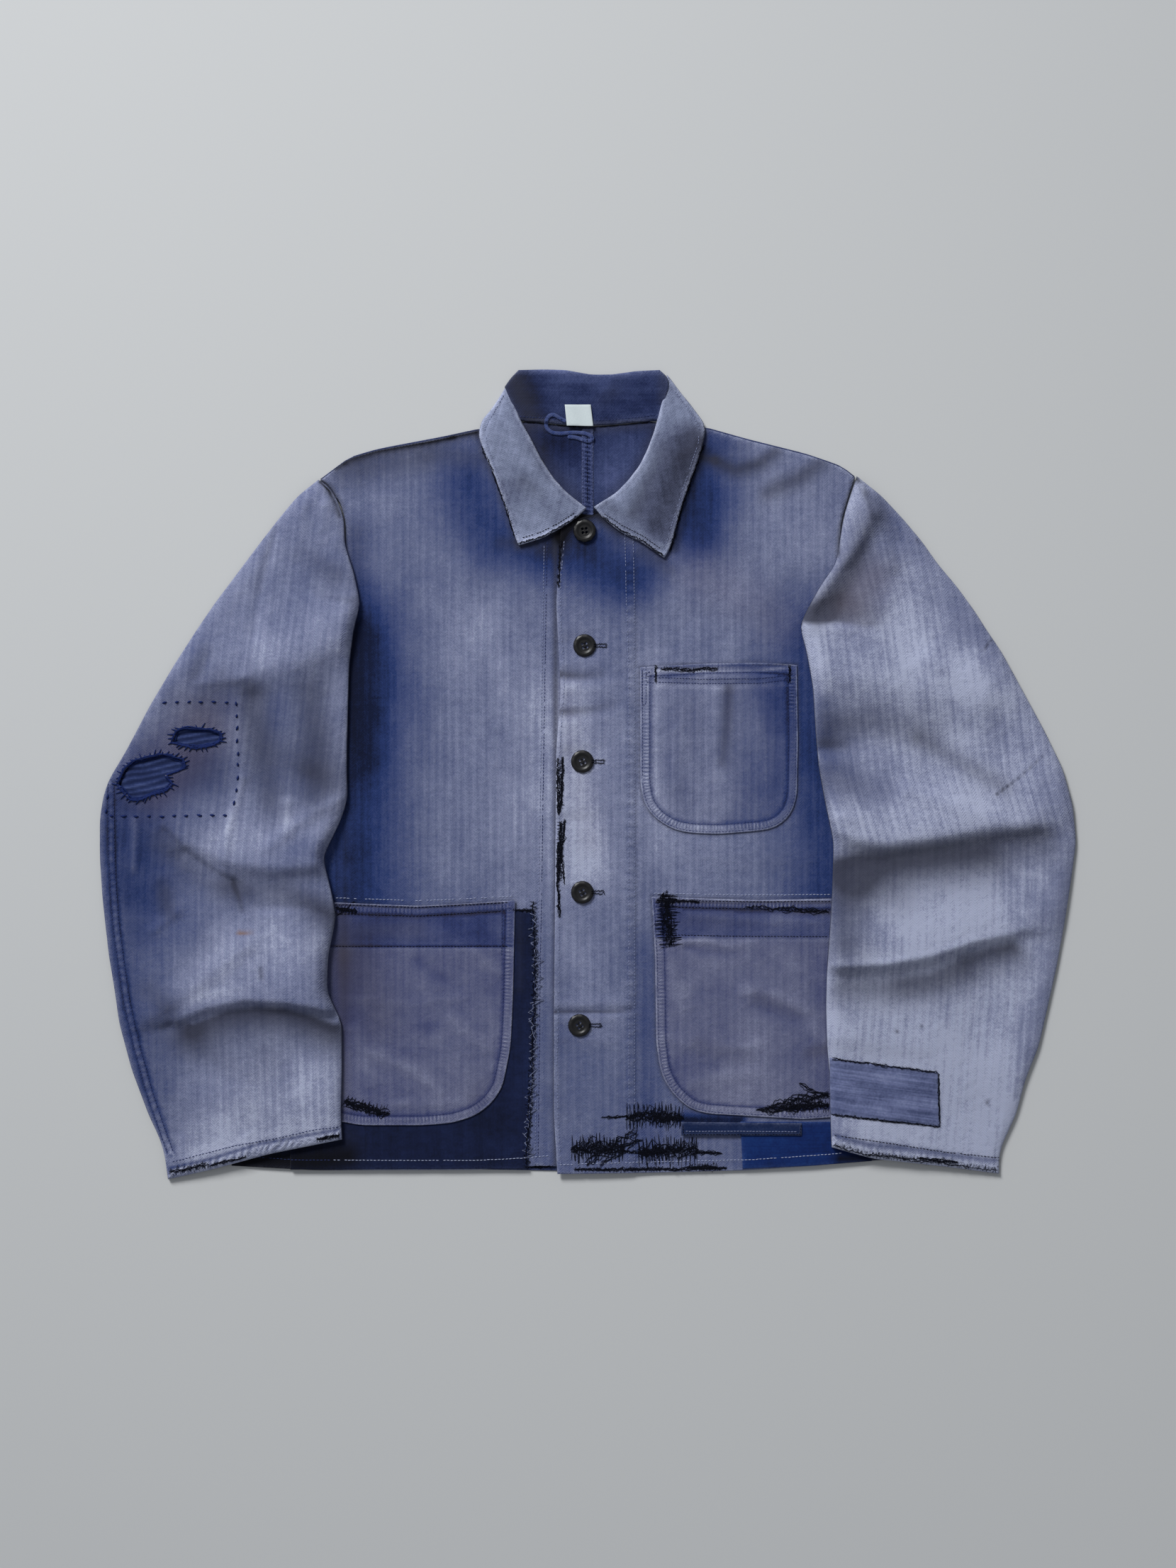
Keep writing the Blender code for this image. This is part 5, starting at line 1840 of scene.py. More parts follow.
class Colour(Enum):
    """The colours of thread."""

    PALE = "stitches_pale"
    GREY = "stitches_grey"
    BLUE = "stitches_blue"
    NAVY = "elbow_thread_navy"
    DARK = "mending_thread_dark"


PALE, GREY, BLUE, NAVY, DARK = Colour
Row = tuple[Colour, float, float, Line]  # colour, pitch, share worn away, line
Darn = tuple[float, float, int, Line]  # reach, pitch, passes, line


@dataclass
class Sewing:
    """All rows of stitches, darns and loose threads, in mm."""

    wardrobe: Wardrobe
    body_rows: tuple[Row, ...] = (
        (GREY, 2.9, 0.1, (32.5, 214, 33.5, 160, 35, 120, 36, 80, 36, -300, 36, -341)),
        (GREY, 2.9, 0.15, (39, 214, 40, 200, 40.6, 160, 41, 120, 41, 80, 41, -300, 41, -341)),
        (
            GREY, 2.9, 0.3,
            (
                -21, 205, -24.5, 165, -24, 130, -21, 100, -21, 75, -23.5, 40, -25.5, 10, -25.5, -150, -26.5,
                -220, -27.5, -260, -26.5, -300, -24, -344
            )
        ),
        (GREY, 3.0, 0.1, (-38.5, 204, -39.5, 150, -41, 50, -43.5, -110, -45, -200, -46.5, -338)),
        (BLUE, 3.0, 0.1, (-36, 204, -37, 150, -38.5, 50, -41, -110, -42.5, -200, -44, -338)),
        (BLUE, 3.2, 0.05, (-300, -336.5, -262, -339.5, -226, -339.7)),
        (PALE, 3.2, 0.05, (-224, -339.7, -100, -340, -60, -338, -34, -336)),
        (PALE, 3.2, 0.1, (-25, -343.5, 0, -342.5, 100, -340.5, 140, -339.5, 200, -335.5, 224, -333.5)),
        (PALE, 3.2, 0.1, (-222, -109, -150, -111.5, -110, -110, -66, -107.5)),
        (PALE, 3.2, 0.1, (58, -105, 140, -106.5, 214, -106)),
        (DARK, 3.0, 0.0, (-236, -122.5, -150, -125.2, -76, -120.5)),
        (DARK, 3.2, 0.0, (-236, -114.3, -150, -117.3, -70, -112.8)),
        (DARK, 3.0, 0.0, (64, -111, 140, -112.2, 214, -112)),
        (DARK, 3.0, 0.1, (64, -117, 140, -118.5, 214, -119.5)),
        (BLUE, 2.6, 0.0, (62, 85, 100, 83.5, 150, 84, 176, 87)),
        (BLUE, 2.6, 0.0, (62, 81, 100, 79.5, 150, 80, 176, 83)),
        (BLUE, 2.4, 0.0, (51, 95, 51, 81, 58.5, 80)),
        (BLUE, 2.4, 0.0, (47.5, 92, 47.5, 61, 51, 61, 51, 80)), (BLUE, 2.8, 0.0, (-75.5, -112, -76, -160)),
        (DARK, 2.8, 0.0, (-222, -151.5, -70, -151.5)), (DARK, 2.8, 0.0, (62, -141, 120, -142.5, 214, -143)),
        (GREY, 2.8, 0.0, (86, -314.3, 130, -314, 184, -314.5)),
        (DARK, 2.6, 0.0, (83.5, -309, 84, -317, 187, -317, 187, -308)),
        (BLUE, 2.6, 0.0, (-4.2, 236, -4.4, 300)), (BLUE, 2.6, 0.0, (3.4, 236, 3.4, 298)),
        (DARK, 2.6, 0.1, (-0.6, 238, -0.8, 298))
    )
    upper_rows: tuple[Row, ...] = (
        (BLUE, 3.0, 0.0, (-219, -309.5, -238, -311.5, -276, -320, -309, -326, -336, -333, -366, -341)),
        (DARK, 3.0, 0.05, (216, -317, 246, -321, 289, -328, 317, -332.5, 363, -337.5)),
        (DARK, 2.6, 0.05, (-12, 229.5, -26, 220.5, -42, 212.5, -58, 207.5)),
        (DARK, 2.6, 0.05, (14, 229, 30, 218.5, 48, 209.5, 64, 198)),
        (GREY, 2.6, 0.2, (-63, 210, -75, 248, -88, 288, -91, 303, -82, 320, -74, 334)),
        (GREY, 2.6, 0.2, (68, 200, 80, 240, 97, 291, 98, 304, 88, 322, 76, 338)),
        (BLUE, 2.8, 0.0, (-60, 314.5, -39, 313.4, -22, 312.1)),
        (BLUE, 2.8, 0.0, (6.5, 311.4, 20, 312, 40, 313.6, 60, 316))
    )
    body_darns: tuple[Darn, ...] = (
        (10, 2.3, 9, (33, -302, 58, -301, 83, -302)), (5, 2.6, 6, (58, -303, 84, -303)),
        (1.5, 0, 3, (12, -301.5, 36, -301)), (10, 2.3, 8, (-15, -330, 8, -329, 32, -329)),
        (2.5, 0, 3, (28, -328, 48, -322)), (11, 2.3, 9, (44, -333, 70, -331, 97, -332)),
        (5, 2.6, 5, (44, -334, 70, -333)), (2, 0, 4, (94, -333, 118, -334)),
        (3, 0, 3, (28, -331, 48, -333)), (9, 0, 4, (-2, -343, 20, -328, 42, -313)),
        (5, 0, 2, (10, -344, 40, -326)), (1.8, 2.4, 3, (-12, -347.5, 60, -348, 122, -347)),
        (3.0, 1.8, 4, (88, -346, 114, -346)), (1.3, 2.2, 3, (-26.4, 14, -26.6, -10, -26.6, -34)),
        (1.3, 2.2, 3, (-22.2, 15, -22.6, -10, -23.6, -24, -26.4, -36)),
        (2.4, 2.4, 1, (-24.6, 12, -24.8, -30)), (2.6, 2.0, 5, (-24.2, -42, -24.6, -70, -25.6, -95)),
        (0.9, 2.2, 3, (-20.2, -40, -21.4, -56, -24, -70)),
        (1.3, 2.2, 3, (-26.4, -60, -26.6, -95, -25, -126)), (0.8, 2.2, 2, (-23, -72, -20.8, -97)),
        (1.0, 2.4, 3, (-24, 206, -26, 164)), (1.8, 1.6, 3, (64, 92.5, 90, 92, 114, 92.5)),
        (1.0, 1.6, 2, (59.5, 80, 59.5, 96)), (1.0, 1.6, 2, (177, 80, 177.5, 96)),
        (9, 2.2, 7, (69, -106, 70, -130, 72, -152)), (5, 2.2, 5, (63, -108, 76, -112)),
        (2.0, 2.4, 3, (60, -111, 98, -112.5)), (4.5, 0, 2, (138, -117.5, 178, -118, 214, -121)),
        (3.5, 0, 2, (170, -120, 214, -122)), (9, 0, 7, (156, -294, 185, -288, 214, -281)),
        (5, 2.4, 4, (176, -293, 196, -292, 214, -291)), (5, 0, 5, (148, -296, 180, -295, 214, -291)),
        (3, 0, 3, (186, -272, 200, -280, 214, -284)), (5, 2.6, 5, (-214, -287, -200, -293, -178, -297)),
        (8, 0, 6, (-214, -289, -198, -293, -174, -298)), (2.5, 2.2, 4, (-224, -117, -203, -121)),
        (1.2, 0, 2, (-222, -126, -206, -112)), (1.2, 2.2, 3, (-66, -119.6, -48, -120.4)),
        (2.4, 2.6, 1, (-48.5, -112, -46.5, -160, -47, -200, -49, -240, -51, -290, -54, -344)),
        (1.2, 2.2, 3, (-56, -346, -30, -346))
    )
    upper_darns: tuple[Darn, ...] = (
        (0.8, 2.2, 2, (214, -249.5, 262, -255.7, 306.5, -261.6)), (0.8, 2.2, 2, (307, -262, 308.8, -309.3)),
        (0.8, 2.2, 2, (308.5, -309.5, 262, -304.2, 214, -298.5)),
        (2.4, 2.0, 2, (215, -326, 246, -334, 298, -340.5, 361, -348.5)),
        (3.2, 0, 4, (290, -337, 325, -341)), (2.8, 2.0, 3, (-368, -350, -352, -347, -333, -343)),
        (1.4, 2.4, 3, (-333, -344, -300, -336)), (2.2, 1.8, 5, (-218, -317, -238, -321)),
        (0.6, 1.9, 1, (-93.5, 289, -84, 266, -73, 236, -64.5, 209)),
        (1.1, 1.9, 2, (101.5, 290, 90.5, 258, 80.5, 228, 72, 196)),
        (0.8, 2.4, 1, (-62, 202.5, -41, 208.5, -24, 217.5, -9, 227)),
        (0.8, 2.4, 1, (66, 192, 47, 205.5, 28, 214.5, 13, 226.5))
    )
    blanket_pitch: float = 3.6
    elbow_lines: tuple[Line, ...] = (
        (-374, 63, -308, 63.5, -307, -8, -312, -34), (-316, -36, -425, -37.5, -421, -12)
    )

    def make(
        self, land: Land, pockets: Sequence[Pocket], sleeves: Sequence[Sleeve], buttons: Buttons
    ) -> None:
        """Sews everything.

        Args:
            land: The surface that is sewn on.
            pockets: The pockets, which have two rows round them.
            sleeves: The sleeves, which cover some of the sewing.
            buttons: The buttons.
        """
        finishes = (
            self.wardrobe.pale_thread, self.wardrobe.grey_thread, self.wardrobe.blue_thread,
            self.wardrobe.navy_thread, self.wardrobe.dark_thread
        )
        spools = {
            colour: Thread(
                colour.value, finish, "faded_herringbone", land,
                hidden_by=[sleeve.loop for sleeve in sleeves]
            )
            for colour, finish in zip(Colour, finishes, strict=True)
        }
        blue, navy, dark = spools[BLUE], spools[NAVY], spools[DARK]
        self.rows(spools, self.body_rows)
        for seed, darn in enumerate(self.body_darns):
            self.darn(dark, darn, seed)
        for pocket in pockets:
            for by in (1.9, pocket.seam):
                line = inset(pocket.loop, by, closed=True)
                self.around(blue, line, line[:, 1] < pocket.top_edge - 3)
        whip = course((-48, -122, -46, -180, -50, -290, -54, -338))
        for seed in (9, 10):
            spools[GREY].zigzag(whip, 2.8, 3.4, 0.7, seed=seed, rough=0.5)
        for spool in spools.values():
            spool.hidden_by = []
        self.rows(spools, self.upper_rows)
        for seed, darn in enumerate(self.upper_darns):
            self.darn(dark, darn, seed + 60)
        for sleeve in sleeves:
            for by in (0.6, 5.8) if sleeve.seam else ():
                blue.run(inset(course(sleeve.seam), by), 2.9, thick=0.8, seed=4, gaps=0.05)
            self.blankets(navy, sleeve.holes)
        for line in self.elbow_lines:
            navy.run(course(line), 11.2, thick=2.3, share=0.36, sway=0.5, seed=5)
        self.button_threads(dark, buttons)
        for spool in spools.values():
            spool.make()

    def rows(self, spools: dict[Colour, Thread], table: Sequence[Row]) -> None:
        """Sews the rows of a table."""
        for seed, (colour, pitch, gaps, line) in enumerate(table):
            thick = 0.75 if colour is PALE else 0.7
            spools[colour].run(course(line), pitch, seed=seed, gaps=gaps, thick=thick)

    def darn(self, spool: Thread, darn: Darn, seed: int) -> None:
        """Works one darn: thread to and fro across its line, and more thread along it.

        Args:
            spool: The thread.
            darn: Its row of the table.
            seed: For the unevenness.
        """
        reach, pitch, passes, line = darn
        rng = np.random.default_rng(seed + 500)
        middle = course(line)
        for turn in range((2 if reach > 2 else 1) if pitch else 0):
            closer = pitch * (0.66 + 0.1 * turn)
            spool.zigzag(middle, reach, closer, 0.5, seed=40 * seed + turn, rough=0.24)
        for _ in range(round(1.7 * passes)):
            points = spaced(middle, 2.0)
            if len(points) < 3:
                continue
            sway = np.convolve(rng.normal(0, 1, len(points) + 4), np.ones(5) / 2.2, "valid")
            envelope = np.sin(np.linspace(0.15, math.pi - 0.15, len(points))) ** 0.5
            curl = rng.normal(0, 0.5, len(points))
            sides = inset(points, 1.0) - points
            shift = 0.32 * reach * envelope * sway + curl
            first, last = sorted(rng.integers(0, len(points), 2).tolist())
            if last - first < 0.5 * len(points):
                first, last = 0, len(points) - 1
            part = slice(first, last + 1)
            wavy = points + sides * shift[:, None] + rng.normal(0, 0.35, points.shape)
            spool.strand(wavy[part], 0.54, np.abs(rng.normal(0.25, 0.15, last + 1 - first)))

    @staticmethod
    def around(spool: Thread, line: Array, keep: Array) -> None:
        """Sews along the kept part of a closed line."""
        first = int(np.flatnonzero(keep & ~np.roll(keep, 1))[0])
        order = np.roll(np.arange(len(line)), -first)
        order = order[: int(np.argmin(keep[order])) or len(order)]
        spool.run(line[order], 2.9, thick=0.6, seed=first, gaps=0.04)

    def blankets(self, spool: Thread, holes: Sequence[Array]) -> None:
        """Sews blanket stitches around the worn holes."""
        rng = np.random.default_rng(77)
        for hole in holes:
            edge = spaced(hole, self.blanket_pitch, closed=True)
            centre = edge.mean(0)
            for point in edge:
                out = point - centre
                out /= np.hypot(*out)
                length = rng.uniform(3.8, 6.4)
                sway = rng.normal(0, 0.8, 2)
                path = np.array([point - out * 1.6, point + out * 1.3, point + out * length + sway])
                spool.strand(path, 1.5, np.array([0.2, 0.5, 0.0]))
            ring = np.vstack([edge, edge[:1]])
            for turn in range(4):
                out = ring - centre
                out /= np.hypot(*out.T)[:, None]
                lap = ring + out * (0.9 * turn - 1.2) + rng.normal(0, 0.35, ring.shape)
                spool.strand(lap, 1.3, 0.2 + 0.12 * turn)

    def button_threads(self, spool: Thread, buttons: Buttons) -> None:
        """Sews the buttons on and works the ends of the buttonholes."""
        for number, (centre, spots) in enumerate(buttons.places):
            for a, b in ((0, 1), (2, 3)):
                for shift in (-0.3, 0.3):
                    ends = np.array([spots[a], 0.5 * (spots[a] + spots[b]), spots[b]]) + shift
                    spool.strand(ends, 0.55, np.array([-0.2, 0.15, -0.2]))
            if number == 0:
                continue
            for shift in (-1.5, 1.5):
                line = np.array([centre + (8.0, 0.6 * shift), centre + (18, shift)])
                spool.zigzag(line, 0.5, 0.7, 0.75, seed=number, rough=0.15)
            tip = centre + (18.6, 0.0)
            spool.zigzag(np.array([tip - (0, 2.2), tip + (0, 2.2)]), 0.9, 0.7, 0.6, seed=number)


@dataclass
class Studio:
    """The floor, the light and the camera, in metres."""

    camera_height: float = 2.0
    camera_y: float = -0.00875
    view_height: float = 1.3825
    sensor: float = 36.0
    floor_size: float = 6.0
    lamp_at: tuple[float, float, float] = (-2.1, 3.5, 2.9)
    lamp_size: float = 1.5
    lamp_spread: float = 90.0  # the grid on the lamp keeps its light off the floor below it
    lamp_share: float = 0.755  # of the light on the floor that comes from the lamp
    sky: float = 0.32

    def make(self) -> None:
        """Makes all of it."""
        self.floor()
        self.light()
        self.camera()

    def floor(self) -> None:
        """Makes the plain pale floor."""
        half, low = 0.5 * self.floor_size, -0.0003
        mesh = bpy.data.meshes.new("floor")
        mesh.from_pydata(
            [(-half, -half, low), (half, -half, low), (half, half, low), (-half, half, low)], [],
            [(0, 1, 2, 3)]
        )
        made = placed("floor", mesh)
        paint = bpy.data.materials.new("pale_matt_floor")
        paint.use_nodes = True
        look = {"Base Color": linear("#bec0c1"), "Roughness": 0.95, "Specular IOR Level": 0.1}
        feed(paint.node_tree, paint.node_tree.nodes["Principled BSDF"], look)
        mesh.materials.append(paint)
        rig.stage(made)

    def light(self) -> None:
        """Makes one soft lamp beyond the collar and an even sky."""
        at = Vector(self.lamp_at)
        lamp = bpy.data.lights.new("softbox", "AREA")
        lamp.shape = "SQUARE"
        lamp.size = self.lamp_size
        lamp.spread = math.radians(self.lamp_spread)
        gathered = 1 - 0.5 * lamp.spread / math.tan(0.5 * lamp.spread)
        even = math.pi**2 * at.length_squared / (at.z / at.length)
        lamp.energy = self.lamp_share * gathered * even
        made = placed("softbox", lamp)
        made.location = at
        made.rotation_euler = (-at).to_track_quat("-Z", "Y").to_euler()
        world = bpy.data.worlds.new("studio")
        bpy.context.scene.world = world
        world.use_nodes = True
        tree = world.node_tree
        seen = add(tree, "LightPath").outputs["Is Camera Ray"]
        pale = add(tree, "Background", {"Color": linear("#dcdddd"), "Strength": 1.0}).outputs[0]
        sky = tree.nodes["Background"]
        feed(tree, sky, {"Color": linear("#f4f8ff"), "Strength": self.sky})
        mix = add(tree, "MixShader", {0: seen, 1: sky.outputs[0], 2: pale})
        feed(tree, tree.nodes["World Output"], {"Surface": mix.outputs[0]})

    def camera(self) -> None:
        """Makes the camera straight above, and sets how colours are shown."""
        lens = bpy.data.cameras.new("camera")
        lens.sensor_width = self.sensor
        lens.lens = self.sensor * self.camera_height / self.view_height
        made = placed("camera", lens)
        made.location = (0, self.camera_y, self.camera_height)
        bpy.context.scene.camera = made
        bpy.context.scene.view_settings.view_transform = "Standard"


FOLDS_RIGHT = strokes(
    ((-275, 216, -282, 190, -289, 160, -293, 122), 5, 5, -1.6, -1.2),
    ((-250, 238, -257, 195), 6, 6, 1.3, 0.6), ((-230, 236, -235, 205), 5, 5, 1.2, 0.5),
    ((-218, 206, -211, 196, -206, 178, -202, 162), 4, 6, 1.4, 1.0),
    ((-203, 160, -238, 159), 14, 3.5, -1.7, -1.0),
    ((-206, 130, -250, 104, -300, 88, -342, 80), 36, 20, 7.5, 4.5), ((-300, 84, -342, 79), 5, 4, 1.4, 1.0),
    ((-335, 100, -348, 78), 6, 6, -1.2, -0.8), ((-292, 66, -286, 20, -276, -24), 10, 10, -2.6, -2.2),
    ((-306, 60, -303, 0), 7, 7, 1.6, 1.2), ((-240, 62, -240, 0), 18, 12, -2.4, -2.8),
    ((-266, -28, -262, -50), 7, 7, 2.2, 1.6),
    ((-226, -76, -270, -80, -310, -76, -346, -60), 46, 11, 9.5, 5.5),
    ((-212, -19, -240, -34, -262, -48, -280, -64), 5, 6, 2.0, 1.2),
    ((-303, -4, -316, -48, -320, -88), 4, 4, 1.5, 1.1),
    ((-372, -50, -352, -70, -330, -86, -306, -97), 3, 5, -2.4, -2.2),
    ((-311, -94, -306, -108, -303, -121), 3, 3, -1.6, -1.0),
    ((-222, -127, -250, -118, -290, -118), 6, 3, -1.8, -1.0), ((-398, -40, -399, -82), 4, 4, 1.4, 1.0),
    ((-228, -204, -262, -198, -300, -196, -335, -203, -362, -214), 60, 7, 11.0, 5.0),
    ((-300, -150, -345, -186, -395, -219), 12, 8, 2.2, 1.4), ((-222, -219, -245, -214), 3, 4, 1.6, 0.6),
    ((-374, -100, -369, -124), 6, 6, -2.0, -2.0), ((-362, -122, -382, -138), 5, 4, 1.8, 1.2),
    ((-240, -292, -345, -290), 34, 24, 1.8, 1.6), ((-338, -250, -291, -276), 10, 10, -0.9, -0.7),
    ((-355, -320, -349, -345), 3, 3, 1.1, 1.4), ((-300, -318, -298, -332), 3, 3, 0.8, 1.0)
)
# How faded the right sleeve is, with painted highlights on the lit faces of its folds and painted shade in its
# hollows; darker towards its outer edge.
FADING_AND_SHADING_RIGHT = strokes(
    ((-206, 142, -250, 112, -312, 96), 18, 22, 0.1, 0.1),
    ((-230, -45, -300, -58, -340, -68), 22, 12, 0.1, 0.14),
    ((-232, -150, -300, -160, -330, -178), 30, 26, 0.18, 0.16), ((-300, -190, -345, -196), 8, 8, 0.1, 0.12),
    ((-228, -265, -330, -312), 42, 30, 0.14, 0.12),
    ((-425, -50, -408, -180, -380, -300), 46, 46, -0.3, -0.2),
    ((-390, 10, -330, -12), 34, 26, -0.18, -0.16), ((-385, -60, -366, -136), 26, 26, -0.16, -0.16),
    ((-395, -60, -390, -100), 30, 30, -0.1, -0.14), ((-245, 60, -245, -10), 22, 14, -0.12, -0.16),
    ((-330, 55, -350, 0, -400, -20), 34, 24, -0.18, -0.2), ((-276, 60, -276, -20), 14, 14, -0.12, -0.1),
    ((-222, 190, -250, 175), 14, 14, -0.12, -0.1), ((-218, 40, -216, 120), 8, 8, 0.04, 0.04),
    ((-399, -40, -400, -84), 2.5, 2.5, 0.3, 0.2), ((-303, -6, -316, -50), 3, 3, 0.16, 0.2),
    ((-264, -24, -262, -48), 5, 5, 0.16, 0.12), ((-245, -308, -300, -312, -360, -318), 26, 26, 0.14, 0.12),
    ((-224, -310, -260, -317, -300, -323, -350, -336), 8, 8, 0.12, 0.16),
    ((-350, 60, -372, 30), 22, 22, 0.06, 0.04), ((-300, 50, -310, 40), 16, 16, 0.06, 0.06)
)
# Mostly painted shade under the right sleeve's folds and in its hollows, with some soil and small stains.
SOILING_AND_SHADE_RIGHT = strokes(
    ((-292, 70, -285, 20, -276, -28), 15, 15, 0.5, 0.42), ((-322, 87, -300, 79), 6, 14, 0.2, 0.12),
    ((-244, 66, -238, 34), 15, 15, 0.16, 0.14), ((-226, 240, -219, 226), 3, 3, 0.3, 0.3),
    ((-264, 14, -236, 0, -220, -12), 26, 11, 0.2, 0.26),
    ((-234, 90, -236, 50, -230, -2), 17, 17, 0.2, 0.24), ((-248, 0, -238, -28), 14, 14, 0.3, 0.24),
    ((-340, 50, -345, 0, -380, -20), 36, 20, 0.3, 0.3), ((-252, 196, -222, 176), 9, 13, 0.12, 0.34),
    ((-206, 152, -236, 156), 7, 3, 0.3, 0.2),
    ((-372, -54, -352, -74, -330, -90, -306, -101), 6, 16, 0.3, 0.34),
    ((-316, -98, -290, -101, -262, -105, -240, -114, -224, -124), 12, 13, 0.34, 0.66),
    ((-385, 15, -330, 15), 44, 44, 0.22, 0.2), ((-312, -94, -306, -110, -303, -120), 2.4, 2.4, 0.3, 0.3),
    (
        (-345, -222, -332, -216, -316, -210, -291, -207, -266, -208, -242, -214, -224, -221), 3.6, 22, 0.8,
        0.92
    ),
    ((-368, -219, -350, -222), 8, 16, 0.24, 0.2), ((-384, -190, -368, -206), 10, 10, 0.2, 0.4),
    ((-372, -104, -368, -122), 8, 8, 0.4, 0.45), ((-282, -250, -294, -288), 18, 20, 0.14, 0.12),
    ((-352, -240, -318, -258), 14, 16, 0.12, 0.12), ((-236, -130, -232, -195), 16, 16, 0.18, 0.2),
    ((-330, -150, -350, -170), 20, 20, 0.08, 0.08), ((-286.5, -170, -285.5, -178), 2.2, 2.2, 0.5, 0.5),
    ((-345, 88, -336, 110), 7, 7, 0.3, 0.2), ((-276, 214, -283, 188, -290, 160), 3, 3, 0.22, 0.16),
    ((-425, -40, -410, -170, -385, -280), 34, 34, 0.24, 0.16), ((-372, -60, -365, -90), 22, 22, 0.12, 0.12),
    ((-320, -246, -275, -250), 20, 16, 0.1, 0.1), ((-246, 70, -240, 30, -238, -14), 18, 18, 0.16, 0.2)
)
SMEARS_RIGHT = strokes(
    ((-306, -139, -301, -139.3, -294, -138.6), 1.6, 1.4, 0.95, 0.3),
    ((-340, 40, -380, -10), 30, 26, 0.12, 0.1)
)
FOLDS_LEFT = strokes(
    ((247, 226, 238, 205, 228, 190, 217, 181, 207, 167, 200, 156, 192, 143, 187, 131), 12, 6, 4.2, 3.8),
    ((237, 259, 245, 238, 251, 223, 258, 205, 266, 183), 6, 6, 3.4, 1.8),
    ((250, 205, 238, 178, 220, 152, 204, 138), 13, 11, -3.2, -3.0),
    ((244, 244, 249, 226), 3, 3, -1.2, -0.8), ((256, 240, 272, 205), 6, 6, -1.4, -0.8),
    ((236, 236, 226, 210), 5, 5, 0.8, 0.6), ((196, 128, 226, 128, 250, 134), 4, 12, 1.8, 0.8),
    ((200, 92, 250, 86, 300, 78, 345, 70), 40, 25, 7.5, 5.5), ((204, 20, 222, 21), 6, 8, -2.2, -1.0),
    ((222, 30, 280, 34), 18, 14, -1.6, -1.2), ((300, 100, 330, 84, 345, 66), 9, 9, 1.2, 0.6),
    ((296, 30, 340, 4, 366, -10), 10, 8, -1.2, -1.0),
    ((212, -44, 235, -55, 262, -59, 300, -54, 345, -46, 388, -43), 44, 11, 10.5, 7.5),
    ((280, -14, 345, -37, 378, -46), 8, 8, 1.6, 1.0), ((209, -39, 240, -38), 5, 6, 1.2, 0.5),
    ((218, -165, 260, -164, 300, -156, 340, -143, 378, -134), 48, 10, 9.5, 6.0),
    ((210, -169, 260, -166, 300, -160, 340, -146, 376, -140), 3, 4, 1.2, 0.8),
    ((222, -92, 224, -150), 13, 11, -2.2, -2.8), ((225, -226, 300, -220), 26, 24, 2.2, 1.6),
    ((300, -262, 370, -268), 30, 24, 1.4, 1.2), ((320, -172, 340, -188), 5, 5, -0.8, -0.6)
)
# How faded the left sleeve is, with painted highlights on the lit faces of its folds and painted shade by the shoulder
# and in its hollows; darker towards its outer edge.
FADING_AND_SHADING_LEFT = strokes(
    ((240, 108, 300, 92, 338, 76), 24, 20, -0.04, 0.1), ((240, -16, 300, -22, 340, -34), 16, 14, -0.1, 0.1),
    ((270, -122, 350, -132), 22, 16, 0.12, 0.14), ((222, -163, 300, -157), 6, 6, 0.1, 0.1),
    ((428, 0, 418, -150, 398, -240), 34, 34, -0.16, -0.18),
    ((262, 240, 300, 190, 340, 130), 24, 24, -0.26, -0.12), ((250, 200, 244, 165), 24, 24, -0.18, -0.16),
    ((228, 218, 222, 195), 7, 7, -0.04, -0.06), ((205, 60, 206, -20), 12, 12, -0.24, -0.26),
    ((214, 26, 300, 14), 24, 24, -0.16, -0.04), ((360, 40, 385, 0), 16, 16, -0.08, -0.06),
    ((214, -216, 240, -225), 8, 10, 0.04, 0.0), ((280, -250, 370, -320), 34, 34, 0.14, 0.14),
    ((350, 120, 386, 70), 24, 24, -0.1, -0.06), ((210, -60, 220, -160), 18, 18, -0.18, -0.18),
    ((218, -260, 212, -310), 8, 8, -0.1, -0.1), ((270, -310, 340, -320), 24, 16, 0.08, 0.08),
    ((236, 176, 248, 160), 18, 18, -0.08, -0.08), ((232, 110, 252, 112), 18, 18, -0.05, -0.04),
    ((226, 52, 250, 46), 22, 20, -0.09, -0.06), ((224, 0, 250, -14, 300, -18), 20, 18, -0.15, -0.04),
    ((228, -118, 246, -128), 20, 18, -0.12, -0.08), ((362, 118, 372, 98), 18, 18, -0.07, -0.07),
    ((270, -246, 320, -252, 360, -246), 24, 24, 0.06, 0.06), ((262, -300, 330, -318), 18, 18, 0.1, 0.1),
    ((232, -4, 256, -18), 18, 18, -0.07, -0.06), ((234, -136, 250, -140), 18, 18, -0.07, -0.05),
    ((218, -196, 262, -204), 10, 14, -0.04, 0.03)
)
